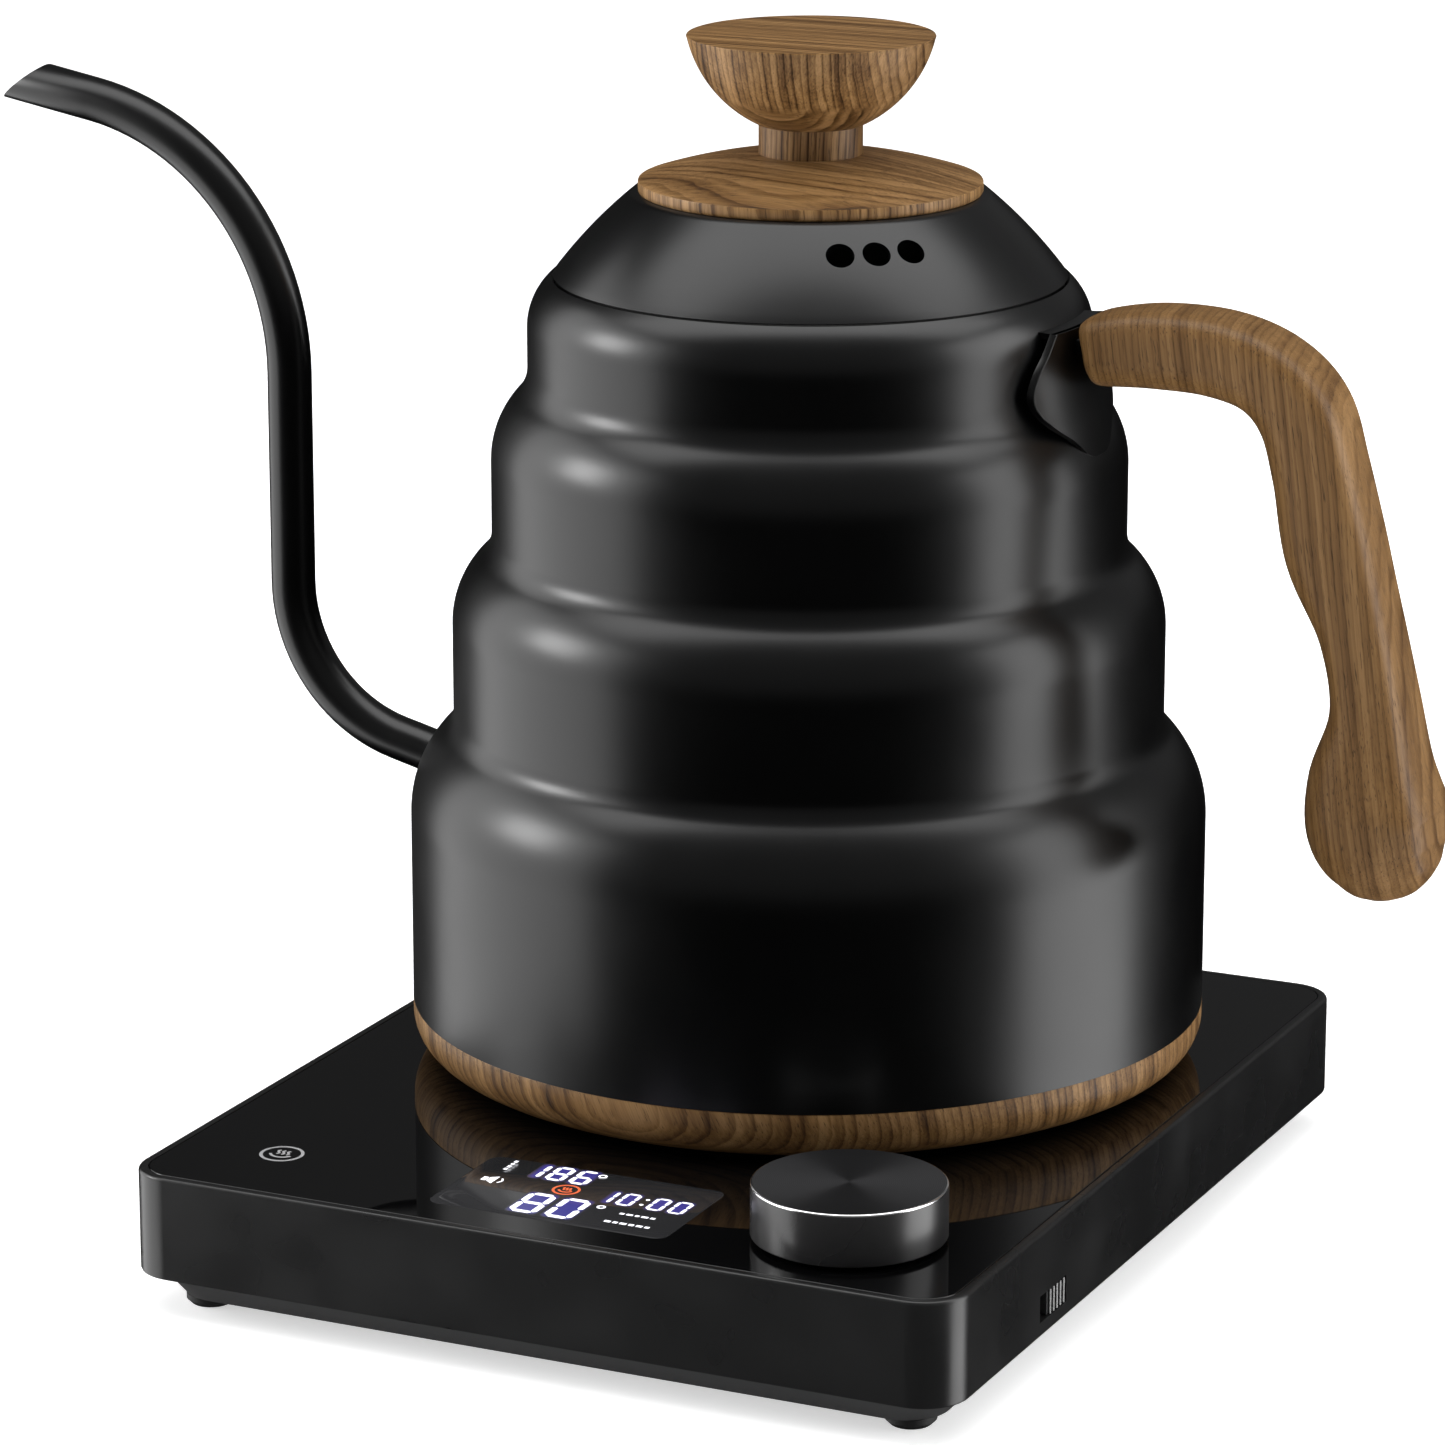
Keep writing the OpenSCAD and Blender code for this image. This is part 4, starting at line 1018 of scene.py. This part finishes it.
def display():
    """The lit window: target temperature, present temperature, time, a heating mark and a sound mark."""
    window = [(0.05, -0.2), (0, -0.02), (0.05, WINDOW_Z)]
    made = slab("display_window", DISPLAY, WINDOW_SIZE, WINDOW_CORNER, window, [DISPLAY_GLASS], GLASS_SHARP)
    own(made, "base", "display_grey")
    lines, groups = [], []
    for text, x, y, wide, high, stroke, pitch in NUMBERS:
        for figure in text:
            if figure == ":":
                lines += [circle(x + COLON_IN, y + high * up, stroke * COLON_DOT, 12) for up in COLON_UP]
                x += pitch * COLON_PITCH
                continue
            lines += digit(figure, x, y, wide, high, stroke)
            groups.append((x + wide - 2 * stroke if figure == "1" else x, y, x + wide, y + high))
            x += pitch
    for word in WORDS:
        lines += bars(*word)
    lines += [[(x, y) for y, x in outline] for outline in bars(*UPRIGHT_WORD)]
    for x, y in DEGREES:
        lines += hoop(x, y, DEGREE_R, DEGREE_LINE, 16)
    lines += SPEAKER + ribbon(arc(*SOUND), SOUND_LINE)
    halo_mesh(groups)
    flat_mark("display_digits", DISPLAY, lines, DIGITS)
    flat_mark("display_heat_mark", DISPLAY, steam_mark(*HEAT_MARK), HEAT_RED)
    flat_mark("touch_mark", TOUCH, steam_mark(*TOUCH_KEY), PRINT_GREY)


DIAL_R, DIAL_LOW, DIAL_TOP = 17.3, 0.9, 10.5
# The bore's radius and roof, the hub's radius and foot, and the skirt's and the roof's thickness
SHAFT_R, SHAFT_TOP, HUB_R, HUB_LOW, SKIRT, ROOF = 3.0, 8.0, 5.5, 1.6, 1.8, 2.5


def dial():
    """A turned knob: satin side, a bright cut edge, a spun top and a hollow underside."""
    bore_r, bore_top = DIAL_R - SKIRT, DIAL_TOP - ROOF
    profile = [(0, SHAFT_TOP), (SHAFT_R, SHAFT_TOP), (SHAFT_R, HUB_LOW), (HUB_R, HUB_LOW), (HUB_R, bore_top),
               (bore_r, bore_top)]
    profile += rounded([(bore_r, DIAL_LOW, 0.3), (DIAL_R, DIAL_LOW, 0.35), (DIAL_R, DIAL_TOP - 0.42)], 4)[:-1]
    profile += [(DIAL_R, DIAL_TOP - 0.36), (DIAL_R - 0.06, DIAL_TOP - 0.2), (DIAL_R - 0.2, DIAL_TOP - 0.06),
                (DIAL_R - 0.36, DIAL_TOP)]
    face_z = DIAL_TOP - 0.02
    face = [(DIAL_R - 0.55, face_z)] + [(DIAL_R * share, face_z) for share in (0.75, 0.5, 0.25, 0.06)]
    profile += face + [(0, face_z)]

    def tag(a, b):
        if b in face or (a in face and b[0] < DIAL_R):
            return 2
        return 1 if min(a[1], b[1]) > DIAL_TOP - 0.4 and a[0] > DIAL_R - 1 else 0

    made = lathe("dial_cap", DIAL, profile, [MATERIALS["dial_metal"], DIAL_EDGE, SPUN], 160, tag, 25)
    own(made, "dial", "dial_metal", "dial_knob")


RIBS, RIB_PITCH, THUMB_LENGTH, THUMB_GAP = 5, 1.55, 8.0, 0.2
# The stem behind the thumb piece: how far back it goes, and its span along the side and upwards
STEM_BACK, STEM_Y, STEM_Z = 2.6, (3, 5.2), (-15.2, -13.2)


def slider():
    """The side switch's ribbed thumb piece."""
    crest = BASE_W / 2
    face, back = crest - 0.45, crest - SIDE - 0.4
    y1, z0, z1 = SLOT[0][1] - THUMB_GAP, SLOT[1][0] + THUMB_GAP, SLOT[1][1] - THUMB_GAP
    y0 = y1 - THUMB_LENGTH
    outline = [(back, y0), (back, y1), (face, y1)]
    for k in range(RIBS):
        y = y1 - 0.75 - k * RIB_PITCH
        outline += [(face, y + 0.34), (crest - 0.14, y + 0.20), (crest, y + 0.10), (crest, y - 0.10),
                    (crest - 0.14, y - 0.20), (face, y - 0.34)]
    outline += [(face, y0)]
    rings = [[(x, y, z) for x, y in outline] for z in (z0, z1)]
    made = loft("switch_thumb", BASE, rings, [MATERIALS["switch_plastic"], RIB_GREY], 30)
    limit = BASE.x + (crest - 0.16) * MM
    for patch in made.data.polygons:
        if abs(patch.normal.z) < 0.5 and patch.center.x > limit:
            patch.material_index = 1
    stem = cuboid("stem", BASE, (back - STEM_BACK, y0 + STEM_Y[0], STEM_Z[0]),
                  (back + 0.2, y0 + STEM_Y[1], STEM_Z[1]))
    combine(made, stem, "UNION")
    own(smooth(made, 30), "switch_slider", "switch_plastic", "switch_slider")


def dress_cad():
    """Every CAD piece that stays takes the material of its slot, and is shaded smooth between its edges."""
    for row in frame["record"]["subparts"]:
        kept = frame["nodes"][row["node"]]
        if kept.hide_render:
            continue
        kept.data.materials.clear()
        kept.data.materials.append(MATERIALS[row["material_slot"]])
        smooth(kept, 35)


# ---- stage
# Metres from here on. The camera's turn and rise are the photograph's
VIEW_TURN = math.radians(25.165)
VIEW_RISE = math.radians(15.303)
VIEW_DISTANCE = 1.1054
VIEW_LENS = 150.9
AIM_Y, AIM_Z = -0.0156, 0.0727
# Soft boxes at the sides: (degrees round the kettle from the camera, distance, height), size, watts
SIDE_BOXES = {
    "left_box": ((-97, 1.0, 0.05), (1.3, 1.6), 13.6),
    "left_spot": ((-90, 0.98, 0.42), (0.32, 0.28), 3.2),
    "right_box": ((81, 1.0, 0.05), (0.74, 1.6), 13.0),
}
TOP_BOX_UP, TOP_BOX_SIZE, TOP_BOX_POWER = 1.1, (2.2, 0.7), 14
# The floor's side and its corners' radius, and the backdrop's section (radius, height), in millimetres
FLOOR_SIZE, FLOOR_CORNER = 5200, 2599
BACKDROP = [(2600, -40), (2600, 3000), (1500, 4600), (0, 5200)]
# The floor glows a little, and more from here (metres, strength) to here, so that it meets the white backdrop
GLOW_NEAR, GLOW_FAR = (0.12, 0.55), (0.45, 1.0)
WHITE = (1, 1, 1, 1)


def facing(way):
    return way.to_track_quat("-Z", "Y").to_euler()


def soft_box(name, at, size, power, turn):
    data = bpy.data.lights.new(name, "AREA")
    data.shape = "RECTANGLE"
    data.size, data.size_y = size
    data.energy = power
    add(name, data, at, turn)


def around(turn, distance, height):
    """A point round the kettle. A turn of 0 is towards the camera, and it grows to the camera's right."""
    a = VIEW_TURN + math.radians(turn)
    return KETTLE + Vector((math.sin(a) * distance, -math.cos(a) * distance, height))


def dim_world():
    """Almost black, with a little light from one side and above."""
    world = bpy.data.worlds.new("studio")
    world.use_nodes = True
    tree = world.node_tree
    way = node(tree, "SeparateXYZ", {0: node(tree, "TexCoord").outputs["Generated"]}).outputs
    side = spread(tree, way[0], 0.008, 0.13, -0.75, 0.05)
    rise = spread(tree, way[2], 0.0, 1.0, 0.0, 0.2)
    feed(tree, tree.nodes["Background"], {0: scaled(tree, side, rise)})
    bpy.context.scene.world = world


def floor_paint():
    material, tree, bsdf = shader("floor_paint")
    length = node(tree, "VectorMath", {0: node(tree, "TexCoord").outputs["Object"]}, operation="LENGTH")
    glow = spread(tree, length.outputs["Value"], GLOW_NEAR[1], GLOW_FAR[1], GLOW_NEAR[0], GLOW_FAR[0])
    feed(tree, bsdf, {"Base Color": (0.86, 0.86, 0.86, 1), "Roughness": 0.9, "Specular IOR Level": 0.0,
                      "Emission Color": WHITE, "Emission Strength": glow})
    return material


def backdrop_paint():
    material, tree, bsdf = shader("backdrop_paint")
    feed(tree, bsdf, {"Base Color": (0, 0, 0, 1), "Specular IOR Level": 0.0, "Emission Color": WHITE,
                      "Emission Strength": 1.0})
    return material


def studio():
    """Pale floor and backdrop, soft boxes at both sides and above, and the camera."""
    outline = rectangle(FLOOR_SIZE, FLOOR_SIZE, FLOOR_CORNER, 0, 24)
    floor = build("floor", Vector(), outline, [list(range(len(outline)))], [floor_paint()])
    floor.visible_glossy = False
    backdrop = lathe("backdrop", Vector(), BACKDROP, [backdrop_paint()], 64)
    for ray in ("visible_glossy", "visible_diffuse", "visible_shadow", "visible_transmission"):
        setattr(backdrop, ray, False)
    dim_world()
    chest = KETTLE + Vector((0, 0, 0.06))
    for name, (place_at, size, power) in SIDE_BOXES.items():
        at = around(*place_at)
        soft_box(name, at, size, power, facing(chest - at))
    soft_box("top_box", KETTLE + Vector((0, 0, TOP_BOX_UP)), TOP_BOX_SIZE, TOP_BOX_POWER, (0, 0, VIEW_TURN))
    data = bpy.data.cameras.new("camera")
    data.sensor_width = 36
    data.lens = VIEW_LENS
    data.clip_start, data.clip_end = 0.05, 50
    level = math.cos(VIEW_RISE)
    back = Vector((math.sin(VIEW_TURN) * level, -math.cos(VIEW_TURN) * level, math.sin(VIEW_RISE)))
    aim = Vector((KETTLE.x, BASE.y + AIM_Y, GLASS_TOP + AIM_Z))
    bpy.context.scene.camera = add("camera", data, aim + back * VIEW_DISTANCE, facing(-back))
    bpy.context.scene.view_settings.view_transform = "Standard"


kettle_body()
spout()
foot_ring()
grip()
bracket()
lid()
housing()
glass()
display()
dial()
slider()
dress_cad()
studio()
